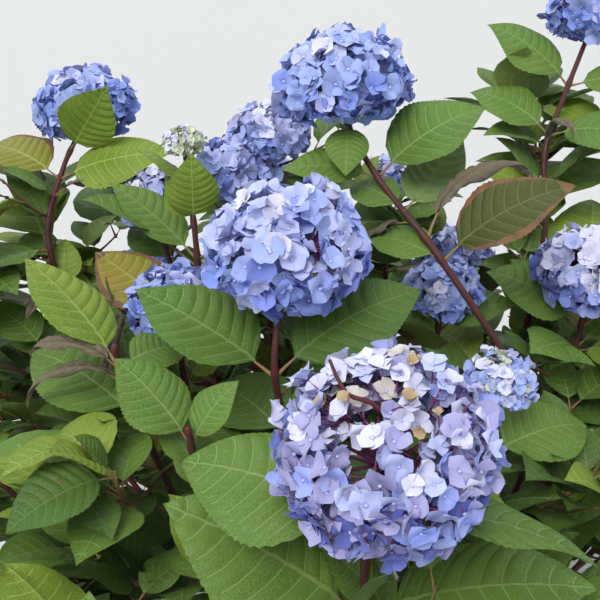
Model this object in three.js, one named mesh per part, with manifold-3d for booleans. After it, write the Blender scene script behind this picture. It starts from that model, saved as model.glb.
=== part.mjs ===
// A hydrangea shrub: a low woody stool with a flat cut at ground level, a clump of tapering canes that rise
// from it, and on each cane a mass of foliage, which is a leafy shoot with its twigs, its pairs of leaves and
// its round flower heads. Millimetres, +Z up, origin on the ground under the middle of the stool.
import * as THREE from 'three';
import { mergeVertices } from 'three/addons/utils/BufferGeometryUtils.js';
import Module from 'manifold-3d';

const wasm = await Module();
wasm.setup();

// Stool and canes
const STOOL_PROFILE = [[0, 0], [98, 0], [84, 16], [77, 44], [64, 66], [38, 80], [0, 84]];
const STOOL_SIDES = 16;
const STOOL_LUMPS = 0.06;
const SEAT_RINGS = [{ seats: 4, radius: 18, tilt: 8 }, { seats: 9, radius: 44, tilt: 26 }, { seats: 99, radius: 68, tilt: 44 }];
const SEAT_SINK = 14;
const SEAT_SPACING = 0.82;
const CLEARANCE = 0.3;
const CANE = { foot: 6.5, tip: 4.5, sides: 5, steps: 4 };

// Stems and twigs inside a mass of foliage
const STEM = { foot: 5.5, tip: 4, sides: 3, steps: 5 };
const TWIG = { foot: 2.4, tip: 2.2, sides: 3, steps: 2 };
const FIRST_NODE = 42;
const NODE_GAP = 103;
const TWIG_PLACES = [0.3, 0.52];
const TWIG_REACH = 165;

// Leaves: the length runs from the stem to the tip, so it includes the stalk
const LEAF_LENGTH = 170;
const LEAF_WIDTH = 0.6;
const LEAF_THICK = 5;
const LEAF_ARCH = 0.1;
const LEAF_FOLD = 0.06;
const LEAF_TRIES = [[0, 0, 1], [26, 6, 1], [-26, 6, 1], [0, 26, 0.9], [48, -10, 0.9], [-48, -10, 0.9],
  [0, -30, 0.8], [30, 30, 0.75], [-30, 30, 0.75], [72, 0, 0.8], [-72, 0, 0.8], [0, 50, 0.8], [0, 10, 0.62],
  [90, 20, 0.6], [-90, 20, 0.6], [45, 40, 0.5], [-45, 40, 0.5]];
const SPACE_GAP = 5;
const LIMB_GAP = 8;
const ROOT_SHARE = 0.12;
const GROUND_GAP = 25;

// Flower heads
const HEAD_HEIGHT = 0.78;
const HEAD_UNDERSIDE = 0.62;
const HEAD_LUMPS = 0.07;
const HEAD_SEAT = 0.12;
const BIG_HEAD = 164;

// The shoots that make the front of the shrub. head is the middle of the flower head and its width; lean is the
// way the head faces, as an azimuth and a tilt; the stem runs from its foot, where its cane ends, by the points
// of via to the head; a row of pairs is how far below the head two leaves stand, then the tips of the leaves.
const FRONT_SHOOTS = [
  { name: 'front', head: [-28, -420, 712], width: 200, lean: [262, 20], hollow: 0.34,
    foot: [-30, -300, 300], via: [[-44, -415, 520], [-42, -428, 640]],
    pairs: [[76, [-209, -358, 657], [146, -452, 618]], [190, [-221, -389, 635], [156, -438, 583]]] },
  { name: 'centre', head: [-114, -184, 795], width: 175, lean: [262, 10],
    foot: [-80, -130, 350], via: [[-105, -190, 540], [-126, -236, 688]],
    pairs: [[118, [-276, -168, 742], [31, -165, 739]]] },
  { name: 'top', head: [-50, 16, 936], width: 165, lean: [190, 6],
    foot: [135, -100, 440], via: [[154, -150, 593], [58, -120, 753], [-10, -42, 826], [-44, -6, 880]],
    pairs: [[62, [-49, -74, 836]], [135, [-180, -30, 823], [116, -6, 899]], [190, [-39, -7, 804], [92, 16, 873]],
      [262, [-21, -59, 758], [199, -110, 838]]] },
  { name: 'left', head: [-404, 215, 858], width: 150, lean: [150, 10],
    foot: [-330, 70, 380], via: [[-444, 95, 690], [-432, 158, 775]],
    pairs: [[92, [-345, 104, 904]], [135, [-555, 225, 790], [-274, 149, 803]]] },
  { name: 'right', head: [259, -28, 707], width: 145, lean: [-20, 12],
    foot: [180, -20, 270], via: [[255, -30, 620]],
    pairs: [[78, [139, 18, 682], [400, -70, 690]], [112, [166, -124, 640], [372, 30, 640]]] },
  { name: 'tall', head: [327, 287, 985], width: 150, lean: [40, 10],
    foot: [215, 110, 430], via: [[238, 110, 690], [237, 153, 807], [270, 206, 871]],
    pairs: [[138, [167, 273, 957], [400, 170, 900]], [222, [143, 237, 868], [370, 80, 830]]] },
  { name: 'behind', head: [83, 3, 668], width: 100, lean: [0, 4], foot: [60, 30, 300], via: [[78, 10, 520]], pairs: [] },
  { name: 'young', head: [115, -200, 653], width: 75, lean: [-50, 14],
    foot: [90, -170, 290], via: [[104, -222, 560]],
    pairs: [[92, [-10, -235, 600], [231, -162, 567]]] },
  { name: 'left_middle', head: [-234, -88, 697], width: 112, lean: [200, 10],
    foot: [-170, -80, 290], via: [[-232, -90, 580]],
    pairs: [[58, [-318, -68, 759], [-160, -150, 655]]] },
  { name: 'pair', head: [-141, 146, 833], width: 115, lean: [120, 6],
    foot: [-110, 90, 380], via: [[-150, 120, 620]], pairs: [], heads: [[-188, 130, 780, 110]] },
  { name: 'pale', head: [-244, 45, 847], width: 52, lean: [180, 4],
    foot: [-170, 30, 380], via: [[-226, 4, 600], [-231, 8, 726]],
    pairs: [[102, [-249, 142, 813], [-215, -100, 775]], [134, [-347, 72, 785], [-105, -15, 740]]] },
  { name: 'left_front', head: [-300, -228, 720], width: 0, lean: [230, 12],
    foot: [-215, -150, 330], via: [[-282, -215, 640]],
    pairs: [[30, [-404, -125, 760], [-190, -300, 720]]] },
  { name: 'left_low', head: [-205, -322, 670], width: 0, lean: [240, 10],
    foot: [-150, -220, 300], via: [[-196, -310, 580]],
    pairs: [[22, [-278, -276, 718], [-120, -420, 690]]] },
];

// The shoots of the sides and the back stand in rings: azimuth of the first, step, count, radius, height of the
// head in front and at the back, and the shoots that bear leaves only
const RINGS = [
  { name: 'rim', first: -128, step: 32.7, count: 11, radius: 505, front: 455, back: 560, width: 145, foot: 0.6, leafy: [0, 9, 10] },
  { name: 'back', first: 82, step: 38, count: 3, radius: 325, front: 735, back: 735, width: 105, foot: 0.6, leafy: [] },
];
const RING_FOOT_HEIGHT = 0.36;
const RING_SCATTER = 26;

const SEED = 0x2f6b;
const UP = new THREE.Vector3(0, 0, 1);

// A number from 0 to 1 that depends only on its whole-number keys.
function chance(...keys) {
  let h = SEED;
  for (const key of keys) {
    h = Math.imul(h ^ (key + 1), 0x9e3779b1) >>> 0;
    h = (h ^ (h >>> 15)) >>> 0;
  }
  return ((h >>> 8) & 0xffff) / 65536;
}

const spread = (amount, ...keys) => amount * (2 * chance(...keys) - 1);

// The unit vector of an azimuth and a rise above the horizontal, in degrees.
function heading(azimuth, rise) {
  const a = THREE.MathUtils.degToRad(azimuth);
  const e = THREE.MathUtils.degToRad(rise);
  return new THREE.Vector3(Math.cos(a) * Math.cos(e), Math.sin(a) * Math.cos(e), Math.sin(e));
}

const azimuthOf = (v) => THREE.MathUtils.radToDeg(Math.atan2(v.y, v.x));
const point = ([x, y, z]) => new THREE.Vector3(x, y, z);

// A closed solid from a geometry whose shared vertices are merged.
function solidOf(geometry) {
  const bare = geometry.clone();
  bare.deleteAttribute('normal');
  bare.deleteAttribute('uv');
  const merged = mergeVertices(bare, 1e-4);
  const mesh = { numProp: 3, vertProperties: merged.attributes.position.array, triVerts: new Uint32Array(merged.index.array) };
  return new wasm.Manifold(new wasm.Mesh(mesh));
}

function geometryOf(solid) {
  const mesh = solid.getMesh();
  const geometry = new THREE.BufferGeometry();
  geometry.setAttribute('position', new THREE.BufferAttribute(new Float32Array(mesh.vertProperties), 3));
  geometry.setIndex(new THREE.BufferAttribute(new Uint32Array(mesh.triVerts), 1));
  return geometry;
}

// A tapering limb: a tapered cylinder whose rings are carried along a curve.
function limb(curve, { foot, tip, sides, steps }) {
  const geometry = new THREE.CylinderGeometry(tip, foot, 1, sides, steps);
  const position = geometry.attributes.position;
  const frames = curve.computeFrenetFrames(steps, false);
  for (let i = 0; i < position.count; i++) {
    const along = position.getY(i) + 0.5;
    const ring = Math.round(along * steps);
    const place = curve.getPointAt(along)
      .addScaledVector(frames.normals[ring], position.getZ(i))
      .addScaledVector(frames.binormals[ring], position.getX(i));
    position.setXYZ(i, place.x, place.y, place.z);
  }
  return solidOf(geometry);
}

// The middle of a limb at a share of its length: on the straight line between its rings, not on the curve.
function middleOf(curve, steps, share) {
  const ring = Math.min(Math.floor(share * steps), steps - 1);
  return curve.getPointAt(ring / steps).lerp(curve.getPointAt((ring + 1) / steps), share * steps - ring);
}

// The shoots

function ringShoots() {
  const shoots = [];
  RINGS.forEach((ring, r) => {
    for (let i = 0; i < ring.count; i++) {
      const azimuth = ring.first + ring.step * i;
      const towards = heading(azimuth, 0);
      const radius = ring.radius + spread(RING_SCATTER, 90 + r, i, 1);
      const atBack = (towards.y + 1) / 2;
      const height = ring.front + (ring.back - ring.front) * atBack + spread(RING_SCATTER, 90 + r, i, 2);
      const head = towards.clone().multiplyScalar(radius).setZ(height);
      const foot = head.clone().multiplyScalar(ring.foot).setZ(height * RING_FOOT_HEIGHT);
      shoots.push({
        name: `${ring.name}_${i + 1}`, head: head.toArray(),
        width: ring.leafy.includes(i) ? 0 : Math.round(ring.width + spread(14, 90 + r, i, 3)),
        lean: [azimuth, 14 + radius / 30], foot: foot.toArray(), via: [foot.clone().lerp(head, 0.55).toArray()], pairs: [],
      });
    }
  });
  return shoots;
}

// A shoot's own stem, its twigs and its flower heads. A twig leaves the stem in a curve and ends upright.
function makeShoot(plan, index) {
  const head = point(plan.head);
  const up = heading(plan.lean[0], 90 - plan.lean[1]);
  const end = head.clone().addScaledVector(up, -plan.width * HEAD_SEAT);
  const stem = new THREE.CatmullRomCurve3([point(plan.foot), ...plan.via.map(point), end], false, 'centripetal');
  const twig = (share, key, tip, pairs = []) => {
    const root = middleOf(stem, STEM.steps, share);
    const aside = tip.clone().sub(root).setZ(0);
    const curve = new THREE.CubicBezierCurve3(
      root, root.clone().addScaledVector(aside, 0.55), tip.clone().addScaledVector(UP, -0.3 * root.distanceTo(tip)), tip);
    return { curve, size: TWIG, pairs, key };
  };
  const heads = plan.width ? [{ at: head, up, width: plan.width, hollow: plan.hollow ?? 0 }] : [];
  const stems = [{ curve: stem, size: STEM, pairs: plan.pairs, key: 0 }];
  for (const [x, y, z, width] of plan.heads ?? []) {
    const at = new THREE.Vector3(x, y, z);
    stems.push(twig(0.55, 40, at.clone().addScaledVector(UP, -width * HEAD_SEAT)));
    heads.push({ at, up: UP, width, hollow: 0 });
  }
  TWIG_PLACES.forEach((along, k) => {
    const root = middleOf(stem, STEM.steps, along);
    const azimuth = azimuthOf(root) + (k % 2 ? 1 : -1) * (50 + spread(20, index, k, 5));
    const reach = TWIG_REACH * (1 + spread(0.15, index, k, 6));
    stems.push(twig(along, 60 + k, root.clone().addScaledVector(heading(azimuth, 30 + spread(12, index, k, 7)), reach)));
  });
  return { ...plan, index, start: stem.getTangentAt(0), footPoint: point(plan.foot), stems, heads };
}

// The pairs of leaves on a stem: the ones that its plan states by their tips, then one pair at every node, each
// pair turned by a right angle from the one above.
function leavesWanted(shoot, stem) {
  const wanted = [];
  const length = stem.curve.getLength();
  const isMain = stem.key === 0;
  const seat = isMain ? shoot.width * HEAD_SEAT : 0;
  const rootAt = (drop) => middleOf(stem.curve, stem.size.steps, THREE.MathUtils.clamp(1 - drop / length, 0.03, 0.985));
  let drop = isMain && shoot.width ? FIRST_NODE : 6;
  let turn = azimuthOf(point(shoot.head)) + 180 * chance(shoot.index, stem.key, 8);
  for (const [below, ...tips] of stem.pairs) {
    drop = below - seat;
    const root = rootAt(drop);
    for (const tip of tips) {
      const reach = point(tip).sub(root);
      turn = azimuthOf(reach) + 90;
      const rise = 90 - THREE.MathUtils.radToDeg(reach.angleTo(UP));
      wanted.push({ root, azimuth: turn - 90, rise, size: reach.length(), stated: true });
    }
    drop += NODE_GAP;
  }
  for (let node = 0; drop < length - 30; node++) {
    for (let side = 0; side < 2; side++) {
      const keys = [shoot.index, stem.key, node, side];
      const young = node === 0 && stem.pairs.length === 0 ? 0.78 : 1;
      wanted.push({
        root: rootAt(drop), stated: false,
        azimuth: turn + 180 * side + spread(16, ...keys, 1),
        rise: (node === 0 ? 4 : 14 - 5 * node) + spread(10, ...keys, 2),
        size: LEAF_LENGTH * young * (1 + spread(0.14, ...keys, 3)),
      });
    }
    turn += 90 + spread(10, shoot.index, stem.key, node, 4);
    drop += NODE_GAP * (isMain ? 1 : 0.75);
  }
  return wanted;
}

// Where a leaf's points lie: its line climbs from the root and arches over to the tip, and its halves fold up
// from the midrib.
function leafPoints(root, azimuth, rise, size) {
  const along = heading(azimuth, rise);
  const across = heading(azimuth + 90, 0);
  const out = along.clone().cross(across).normalize();
  const at = (share, side, lift) => root.clone()
    .addScaledVector(along, size * share)
    .addScaledVector(across, side)
    .addScaledVector(out, size * LEAF_ARCH * 4 * share * (1 - share) + lift);
  const half = size * LEAF_WIDTH / 2;
  const fold = size * LEAF_FOLD;
  return {
    outline: [root, at(0.42, 0.92 * half, fold), at(0.68, 0.84 * half, fold), at(1, 0, 0),
      at(0.68, -0.84 * half, fold), at(0.42, -0.92 * half, fold)],
    top: at(0.52, 0, LEAF_THICK / 2), under: at(0.52, 0, -LEAF_THICK / 2),
    line: [at(0.2, 0, 0), at(0.4, 0, 0), at(0.6, 0, 0), at(0.8, 0, 0)], size,
  };
}

// A leaf as a closed solid: a fan over its outline on top and a fan below it.
function leafSolid({ outline, top, under }) {
  const points = [...outline, top, under];
  const count = outline.length;
  const faces = outline.flatMap((_, i) => [count, (i + 1) % count, i, count + 1, i, (i + 1) % count]);
  const geometry = new THREE.BufferGeometry();
  geometry.setAttribute('position', new THREE.Float32BufferAttribute(points.flatMap((p) => p.toArray()), 3));
  geometry.setIndex(faces);
  return solidOf(geometry);
}

// The space of each shoot: what lies nearer to its own stems and heads than to any other's.
function skeletonOf(shoot) {
  const bones = [];
  const addLine = (points, thick) => points.slice(1).forEach((p, i) => bones.push({ a: points[i], b: p, thick }));
  for (const [a, b] of shoot.stemLines) addLine([a, b], STEM.foot);
  for (const head of shoot.heads) bones.push({ a: head.at, b: head.at, thick: head.width * 0.46 });
  for (const leaf of shoot.wanted.filter((w) => w.stated)) {
    const { outline, line } = leafPoints(leaf.root, leaf.azimuth, leaf.rise, leaf.size);
    addLine([...outline, leaf.root], 3);
    addLine([leaf.root, ...line, outline[3]], 3);
  }
  return bones;
}

function distanceTo(bones, p) {
  let nearest = Infinity;
  const along = new THREE.Vector3();
  for (const { a, b, thick } of bones) {
    along.subVectors(b, a);
    const t = THREE.MathUtils.clamp(p.clone().sub(a).dot(along) / Math.max(along.lengthSq(), 1e-9), 0, 1);
    nearest = Math.min(nearest, a.clone().addScaledVector(along, t).distanceTo(p) - thick);
  }
  return nearest;
}

// Whether a point is inside a flower head, taken as a dome with a flatter half below.
function insideHead(p, { at, up, width }) {
  const from = p.clone().sub(at);
  const height = from.dot(up);
  const deep = (width / 2) * HEAD_HEIGHT * (height < 0 ? HEAD_UNDERSIDE : 1);
  const aside = from.addScaledVector(up, -height).length() / (width / 2);
  return aside ** 2 + (height / deep) ** 2 < 1;
}

// The edges of a leaf: its outline and its midrib.
function edgesOf({ outline, top }) {
  const edges = outline.map((p, i) => [p, outline[(i + 1) % outline.length]]);
  return [...edges, [outline[0], top], [top, outline[3]]];
}

// Whether any of some straight lines goes through the blade of a leaf, away from its root.
function pierces(lines, { outline, top, size }) {
  const hit = new THREE.Vector3();
  return lines.some(([from, to]) => outline.some((p, i) => {
    const ray = new THREE.Ray(from, to.clone().sub(from).normalize());
    const met = ray.intersectTriangle(top, p, outline[(i + 1) % outline.length], false, hit);
    return met && from.distanceTo(hit) < from.distanceTo(to) && hit.distanceTo(outline[0]) > size * ROOT_SHARE;
  }));
}

// Whether a leaf keeps to its shoot's space, above the ground and clear of every cane, and of the heads, stems
// and leaves that its shoot has so far.
function fits(leaf, shoot, shoots, canes) {
  const shape = leafPoints(leaf.root, leaf.azimuth, leaf.rise, leaf.size);
  if (pierces(shoot.stemLines, shape)) return false;
  if (shoot.leaves.some((other) => pierces(edgesOf(shape), other) || pierces(edgesOf(other), shape))) return false;
  const { outline, top, line } = shape;
  const between = outline.slice(1).map((p, i) => p.clone().lerp(i ? outline[i] : outline[5], 0.5));
  const others = shoots.filter((s) => s !== shoot);
  return [...outline.slice(1), ...between, top, ...line].every((p) => {
    if (p.z < GROUND_GAP || shoot.heads.some((head) => insideHead(p, head))) return false;
    if (canes.some((bones) => distanceTo(bones, p) < LIMB_GAP)) return false;
    const own = distanceTo(shoot.skeleton, p) + SPACE_GAP;
    return others.every((s) => s.middle.distanceTo(p) - s.radius > own || distanceTo(s.skeleton, p) > own);
  });
}

// The leaves that a shoot bears: of each leaf, the first of its tries that fits, or none.
function placeLeaves(shoot, shoots, canes) {
  shoot.leaves = shoot.wanted.filter((w) => w.stated).map((w) => leafPoints(w.root, w.azimuth, w.rise, w.size));
  for (const leaf of shoot.wanted.filter((w) => !w.stated)) {
    const tried = LEAF_TRIES.map(([turn, lift, share]) => (
      { ...leaf, azimuth: leaf.azimuth + turn, rise: leaf.rise + lift, size: leaf.size * share }));
    const good = tried.find((t) => fits(t, shoot, shoots, canes));
    if (good) shoot.leaves.push(leafPoints(good.root, good.azimuth, good.rise, good.size));
  }
}

// A flower head: a lumpy dome, flatter below, with a hollow in the top of an old one.
function headSolid({ at, up, width, hollow }, index) {
  const geometry = new THREE.IcosahedronGeometry(1, width > BIG_HEAD ? 2 : 1);
  geometry.deleteAttribute('normal');
  geometry.deleteAttribute('uv');
  const ball = mergeVertices(geometry, 1e-3);
  const position = ball.attributes.position;
  const turn = new THREE.Quaternion().setFromUnitVectors(UP, up);
  for (let i = 0; i < position.count; i++) {
    const p = new THREE.Vector3().fromBufferAttribute(position, i);
    const dip = hollow * Math.exp(-(1 - p.z) * 9);
    p.multiplyScalar((width / 2) * (1 + spread(HEAD_LUMPS, index, 300, i) - dip));
    p.z *= HEAD_HEIGHT * (p.z < 0 ? HEAD_UNDERSIDE : 1);
    p.applyQuaternion(turn).add(at);
    position.setXYZ(i, p.x, p.y, p.z);
  }
  return solidOf(ball);
}

// The stool and the canes

function stoolSolid(grow) {
  const profile = STOOL_PROFILE.map(([r, z]) => new THREE.Vector2(r && r + grow, z && z + grow));
  const geometry = new THREE.LatheGeometry(profile, STOOL_SIDES);
  geometry.rotateX(Math.PI / 2);
  const position = geometry.attributes.position;
  for (let i = 0; i < position.count; i++) {
    const x = position.getX(i);
    const y = position.getY(i);
    const sector = Math.round((Math.atan2(y, x) / (2 * Math.PI)) * STOOL_SIDES + STOOL_SIDES) % STOOL_SIDES;
    const lump = 1 + spread(STOOL_LUMPS, 400, sector);
    position.setXYZ(i, x * lump, y * lump, position.getZ(i));
  }
  return solidOf(geometry);
}

// Azimuths in rising order, pushed apart until no two neighbours are much nearer than an even spacing.
function spaced(azimuths) {
  const out = [...azimuths];
  const least = (360 / out.length) * SEAT_SPACING;
  for (let round = 0; round < 80; round++) {
    out.forEach((azimuth, i) => {
      const next = (i + 1) % out.length;
      const lack = least - (out[next] - azimuth + (next ? 0 : 360));
      if (lack <= 0) return;
      out[i] -= lack / 2;
      out[next] += lack / 2;
    });
  }
  return out;
}

// The seat of each cane on the stool: the shoots nearest the middle take the inner rings.
function seatCanes(shoots) {
  const waiting = [...shoots].sort((a, b) => Math.hypot(a.foot[0], a.foot[1]) - Math.hypot(b.foot[0], b.foot[1]));
  for (const { seats, radius, tilt } of SEAT_RINGS) {
    const here = waiting.splice(0, seats).sort((a, b) => azimuthOf(a.footPoint) - azimuthOf(b.footPoint));
    const height = STOOL_PROFILE.reduce((z, [r, top]) => (r >= radius ? Math.max(z, top) : z), 0);
    const azimuths = spaced(here.map((shoot) => azimuthOf(shoot.footPoint)));
    here.forEach((shoot, i) => {
      shoot.seat = heading(azimuths[i], 0).multiplyScalar(radius).setZ(height - SEAT_SINK);
      shoot.rise = heading(azimuths[i], 90 - tilt);
    });
  }
}

function caneCurve(shoot) {
  const end = shoot.footPoint.clone().addScaledVector(shoot.start, -CLEARANCE);
  const length = shoot.seat.distanceTo(end);
  return new THREE.CubicBezierCurve3(
    shoot.seat, shoot.seat.clone().addScaledVector(shoot.rise, length * 0.4),
    end.clone().addScaledVector(shoot.start, -length * 0.35), end);
}

// The whole shrub

const LOOKS = {
  stool: { color: 0x6f5d4b, roughness: 0.95 },
  cane: { color: 0x7a6650, roughness: 0.85 },
  foliage: { color: 0x4f7a35, roughness: 0.6 },
};

function piece(name, solid, look) {
  const material = new THREE.MeshStandardMaterial({ ...LOOKS[look], metalness: 0 });
  const mesh = new THREE.Mesh(geometryOf(solid), material);
  mesh.name = name;
  return mesh;
}

function foliageSolid(shoot) {
  const solids = shoot.stems.map(({ curve, size }) => limb(curve, size));
  shoot.heads.forEach((head, k) => solids.push(headSolid(head, shoot.index * 8 + k)));
  return wasm.Manifold.union([...solids, ...shoot.leaves.map(leafSolid)]);
}

const shrub = new THREE.Group();
shrub.name = 'hydrangea_shrub';
const shoots = [...FRONT_SHOOTS, ...ringShoots()].map(makeShoot);
seatCanes(shoots);
for (const shoot of shoots) {
  shoot.cane = caneCurve(shoot);
  shoot.wanted = shoot.stems.flatMap((stem) => leavesWanted(shoot, stem));
  shoot.stemLines = shoot.stems.flatMap(({ curve, size }) => {
    const points = curve.getSpacedPoints(size.steps);
    return points.slice(1).map((p, i) => [points[i], p]);
  });
  shoot.skeleton = skeletonOf(shoot);
  const box = new THREE.Box3().setFromPoints(shoot.skeleton.flatMap(({ a, b }) => [a, b]));
  shoot.middle = box.getCenter(new THREE.Vector3());
  shoot.radius = box.getSize(new THREE.Vector3()).length() / 2 + Math.max(shoot.width / 2, 10);
}
const canes = shoots.map(({ cane }) => {
  const points = cane.getSpacedPoints(CANE.steps);
  return points.slice(1).map((b, i) => ({ a: points[i], b, thick: CANE.foot }));
});

const stool = stoolSolid(0);
const stoolSpace = stoolSolid(CLEARANCE);
shrub.add(piece('stool', stool, 'stool'));
for (const shoot of shoots) {
  placeLeaves(shoot, shoots, canes);
  shrub.add(piece(`cane_${shoot.name}`, limb(shoot.cane, CANE).subtract(stoolSpace), 'cane'));
  shrub.add(piece(`foliage_${shoot.name}`, foliageSolid(shoot), 'foliage'));
}

export default shrub;
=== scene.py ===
"""A hydrangea shrub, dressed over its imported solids: a barky stool and canes, red-brown stems with their
twigs, leaves with sunken veins and toothed edges, and round flower heads made of four-petalled florets.
Lengths are in millimetres up to the moment that a mesh is made. +Z is up and the ground is at z = 0."""

import math

import bpy
import numpy as np
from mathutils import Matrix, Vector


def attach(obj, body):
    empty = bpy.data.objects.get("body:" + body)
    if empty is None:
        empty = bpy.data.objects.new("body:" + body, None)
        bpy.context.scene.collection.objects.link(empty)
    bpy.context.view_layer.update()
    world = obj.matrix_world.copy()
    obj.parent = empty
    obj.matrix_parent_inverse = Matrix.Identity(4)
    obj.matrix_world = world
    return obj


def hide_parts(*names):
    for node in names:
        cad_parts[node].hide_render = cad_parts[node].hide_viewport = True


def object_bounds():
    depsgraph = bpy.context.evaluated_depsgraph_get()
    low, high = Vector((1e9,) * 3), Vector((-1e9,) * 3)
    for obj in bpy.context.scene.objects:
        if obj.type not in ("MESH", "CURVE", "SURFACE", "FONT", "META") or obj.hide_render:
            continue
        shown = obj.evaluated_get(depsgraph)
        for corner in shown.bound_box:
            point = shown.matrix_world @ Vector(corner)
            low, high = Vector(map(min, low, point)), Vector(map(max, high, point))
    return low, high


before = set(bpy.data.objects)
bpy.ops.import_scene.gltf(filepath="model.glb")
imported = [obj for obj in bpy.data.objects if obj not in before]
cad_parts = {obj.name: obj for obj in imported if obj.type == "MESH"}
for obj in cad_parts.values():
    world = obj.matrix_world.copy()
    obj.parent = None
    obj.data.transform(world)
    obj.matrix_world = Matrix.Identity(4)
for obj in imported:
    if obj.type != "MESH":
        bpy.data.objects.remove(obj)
cad_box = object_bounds()

MM = 0.001
SEED = 0x2F6B
GOLDEN = math.pi * (3 - math.sqrt(5))
UP = np.array([0.0, 0.0, 1.0])

# The front view: where it is seen from, how far it looks down, and its lens
EYE = np.array([-100.0, -985.0, 1110.0])
PITCH = math.radians(25)
AIM = np.array([0, math.cos(PITCH), -math.sin(PITCH)])
EYE_UP = np.array([0, math.sin(PITCH), math.cos(PITCH)])
LENS, SENSOR = 50.64, 36.0

# The stool's profile as radius and height, with the lumps that its sides give it, and the rings of seats for
# the canes: how many, how far from the axis, and how far the canes lean out there. How far a cane holds the
# way in which it leaves its seat and that in which it arrives at its stem, as shares of the gap between them.
STOOL_PROFILE = [(0, 0), (98, 0), (84, 16), (77, 44), (64, 66), (38, 80), (0, 84)]
STOOL_SIDES = 16
STOOL_LUMPS = 0.06
SEAT_RINGS = [(4, 18, 8), (9, 44, 26), (99, 68, 44)]
SEAT_SINK = 14
SEAT_SPACING, SEAT_ROUNDS = 0.82, 80
CANE_FOOT, CANE_TIP = 6.5, 4.9
CANE_LEAVES, CANE_ARRIVES = 0.4, 0.35

# Stems and twigs: their thickness at foot and tip, their places, reach, turn and rise, and how far each
# of these is changed by chance
STEM_FOOT, STEM_TIP = 4.8, 3.3
TWIG_FOOT, TWIG_TIP = 2.7, 1.7
FINE_FOOT, FINE_TIP = 2.0, 1.2
TWIG_PLACES = [0.3, 0.52]
TWIG_REACH, TWIG_REACH_SCATTER = 165, 0.15
TWIG_TURN, TWIG_TURN_SCATTER = 50, 20
TWIG_RISE, TWIG_RISE_SCATTER = 30, 12
SECOND_PLACE = 0.55
FINE_PLACES = [0.05, 0.12, 0.2, 0.28, 0.36, 0.44, 0.52, 0.6, 0.68, 0.76, 0.84, 0.92]
FINE_REACH, FINE_REACH_SCATTER = 92, 0.25
FINE_REACH_ON_TWIG = 0.7
FINE_TURN_SCATTER = 24
FINE_RISE, FINE_RISE_SCATTER = 34, 14

# Nodes, where a limb bears a pair of leaves: the first one below a head or below a bare tip, the gap to the
# next, that of twigs as a share of it, and how near a limb's foot they go
FIRST_NODE, TIP_NODE = 42, 6
NODE_GAP, TWIG_GAP_SHARE = 103, 0.75
FOOT_MARGIN = 30

# The numbers that tell limbs apart: a shoot's stem, the stem of its second head, its twigs, its fine twigs
STEM, SECOND, TWIG, FINE = 0, 40, 60, 100

# The numbers that tell apart, for chance, a limb's fine twigs and the leaves that fill it
FINE_CHANCE, FILLING_CHANCE = 200, 300

# Leaves: the length runs from the stem to the tip, so it includes the stalk. The topmost pair of a limb and
# the next one have a rise each, and from there each pair rises a step less than the one above it.
LEAF_LENGTH, LEAF_LENGTH_SCATTER = 170, 0.14
LEAF_TURN_SCATTER, LEAF_RISE_SCATTER, PAIR_TURN_SCATTER = 16, 10, 10
TOP_RISE, NEXT_RISE, RISE_STEP = 4, 9, 5
YOUNG_LEAF = 0.78
LEAF_WIDTH = 0.6
LEAF_ARCH = 0.1
LEAF_FOLD = 0.06
STALK_SHARE = 0.14

# The small leaves' scatter of size, turn and rise. Those of fine twigs, with the pairs by how far below the
# tip each stands and its share of the size
SMALL_LEAF_SCATTER, SMALL_TURN_SCATTER, SMALL_RISE_SCATTER = 0.2, 20, 16
FINE_LEAF, FINE_LEAF_RISE = 128, 16
FINE_PAIRS = [(4, 0.86), (44, 1.0)]

# The pairs of leaves that fill a limb between its nodes: size, rise, gap, the first one's turn from the head's
# azimuth and the turn from pair to pair, the first one's place below the tip of a stem or a twig, and how
# near the limb's foot they go
FILLING_LEAF, FILLING_RISE, FILLING_GAP = 138, 10, 46
FIRST_FILLING_TURN, FILLING_TURN = 45, 97
STEM_FILLING, TWIG_FILLING, FILLING_MARGIN = 52, 34, 20

# Where a leaf is tried in turn: how far it is turned and lifted, in degrees, and at which share of its size
LEAF_TRIES = [(0, 0, 1), (26, 6, 1), (-26, 6, 1), (0, 26, 0.9), (48, -10, 0.9), (-48, -10, 0.9),
              (0, -30, 0.8), (30, 30, 0.75), (-30, 30, 0.75), (72, 0, 0.8), (-72, 0, 0.8), (0, 50, 0.8),
              (0, 10, 0.62), (90, 20, 0.6), (-90, 20, 0.6), (45, 40, 0.5), (-45, 40, 0.5)]

# The points that stand for a leaf while it is tried: six round its outline, its middle, four on its midrib
OUTLINE_SHARE = [0, 0.42, 0.68, 1, 0.68, 0.42, 0.52, 0.2, 0.4, 0.6, 0.8]
OUTLINE_SIDE = [0, 0.92, 0.84, 0, -0.84, -0.92, 0, 0, 0, 0, 0]

# What a leaf keeps off: another shoot's space, the canes, the ground and the middles of other leaves. Others
# are near within a share of both sizes, and may be crossed within a share of the size from their root. The
# thickness that leaves and heads have as bones, and how far the solids' box may be passed.
SPACE_GAP, LIMB_GAP, GROUND_GAP, MIDDLE_GAP = 5, 8, 25, 16
NEAR_SHARE, ROOT_SHARE = 0.62, 0.12
LEAF_BONE, HEAD_BONE_SHARE = 3, 0.46
BOX_SLACK = 8

# Flower heads, as shares of their width: height, flatter below, drop under the stem's end, depth of the seat
HEAD_HEIGHT = 0.78
HEAD_UNDERSIDE = 0.75
HEAD_DROP = 0.06
HEAD_SEAT = 0.12
HEAD_GAP = 3

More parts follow.
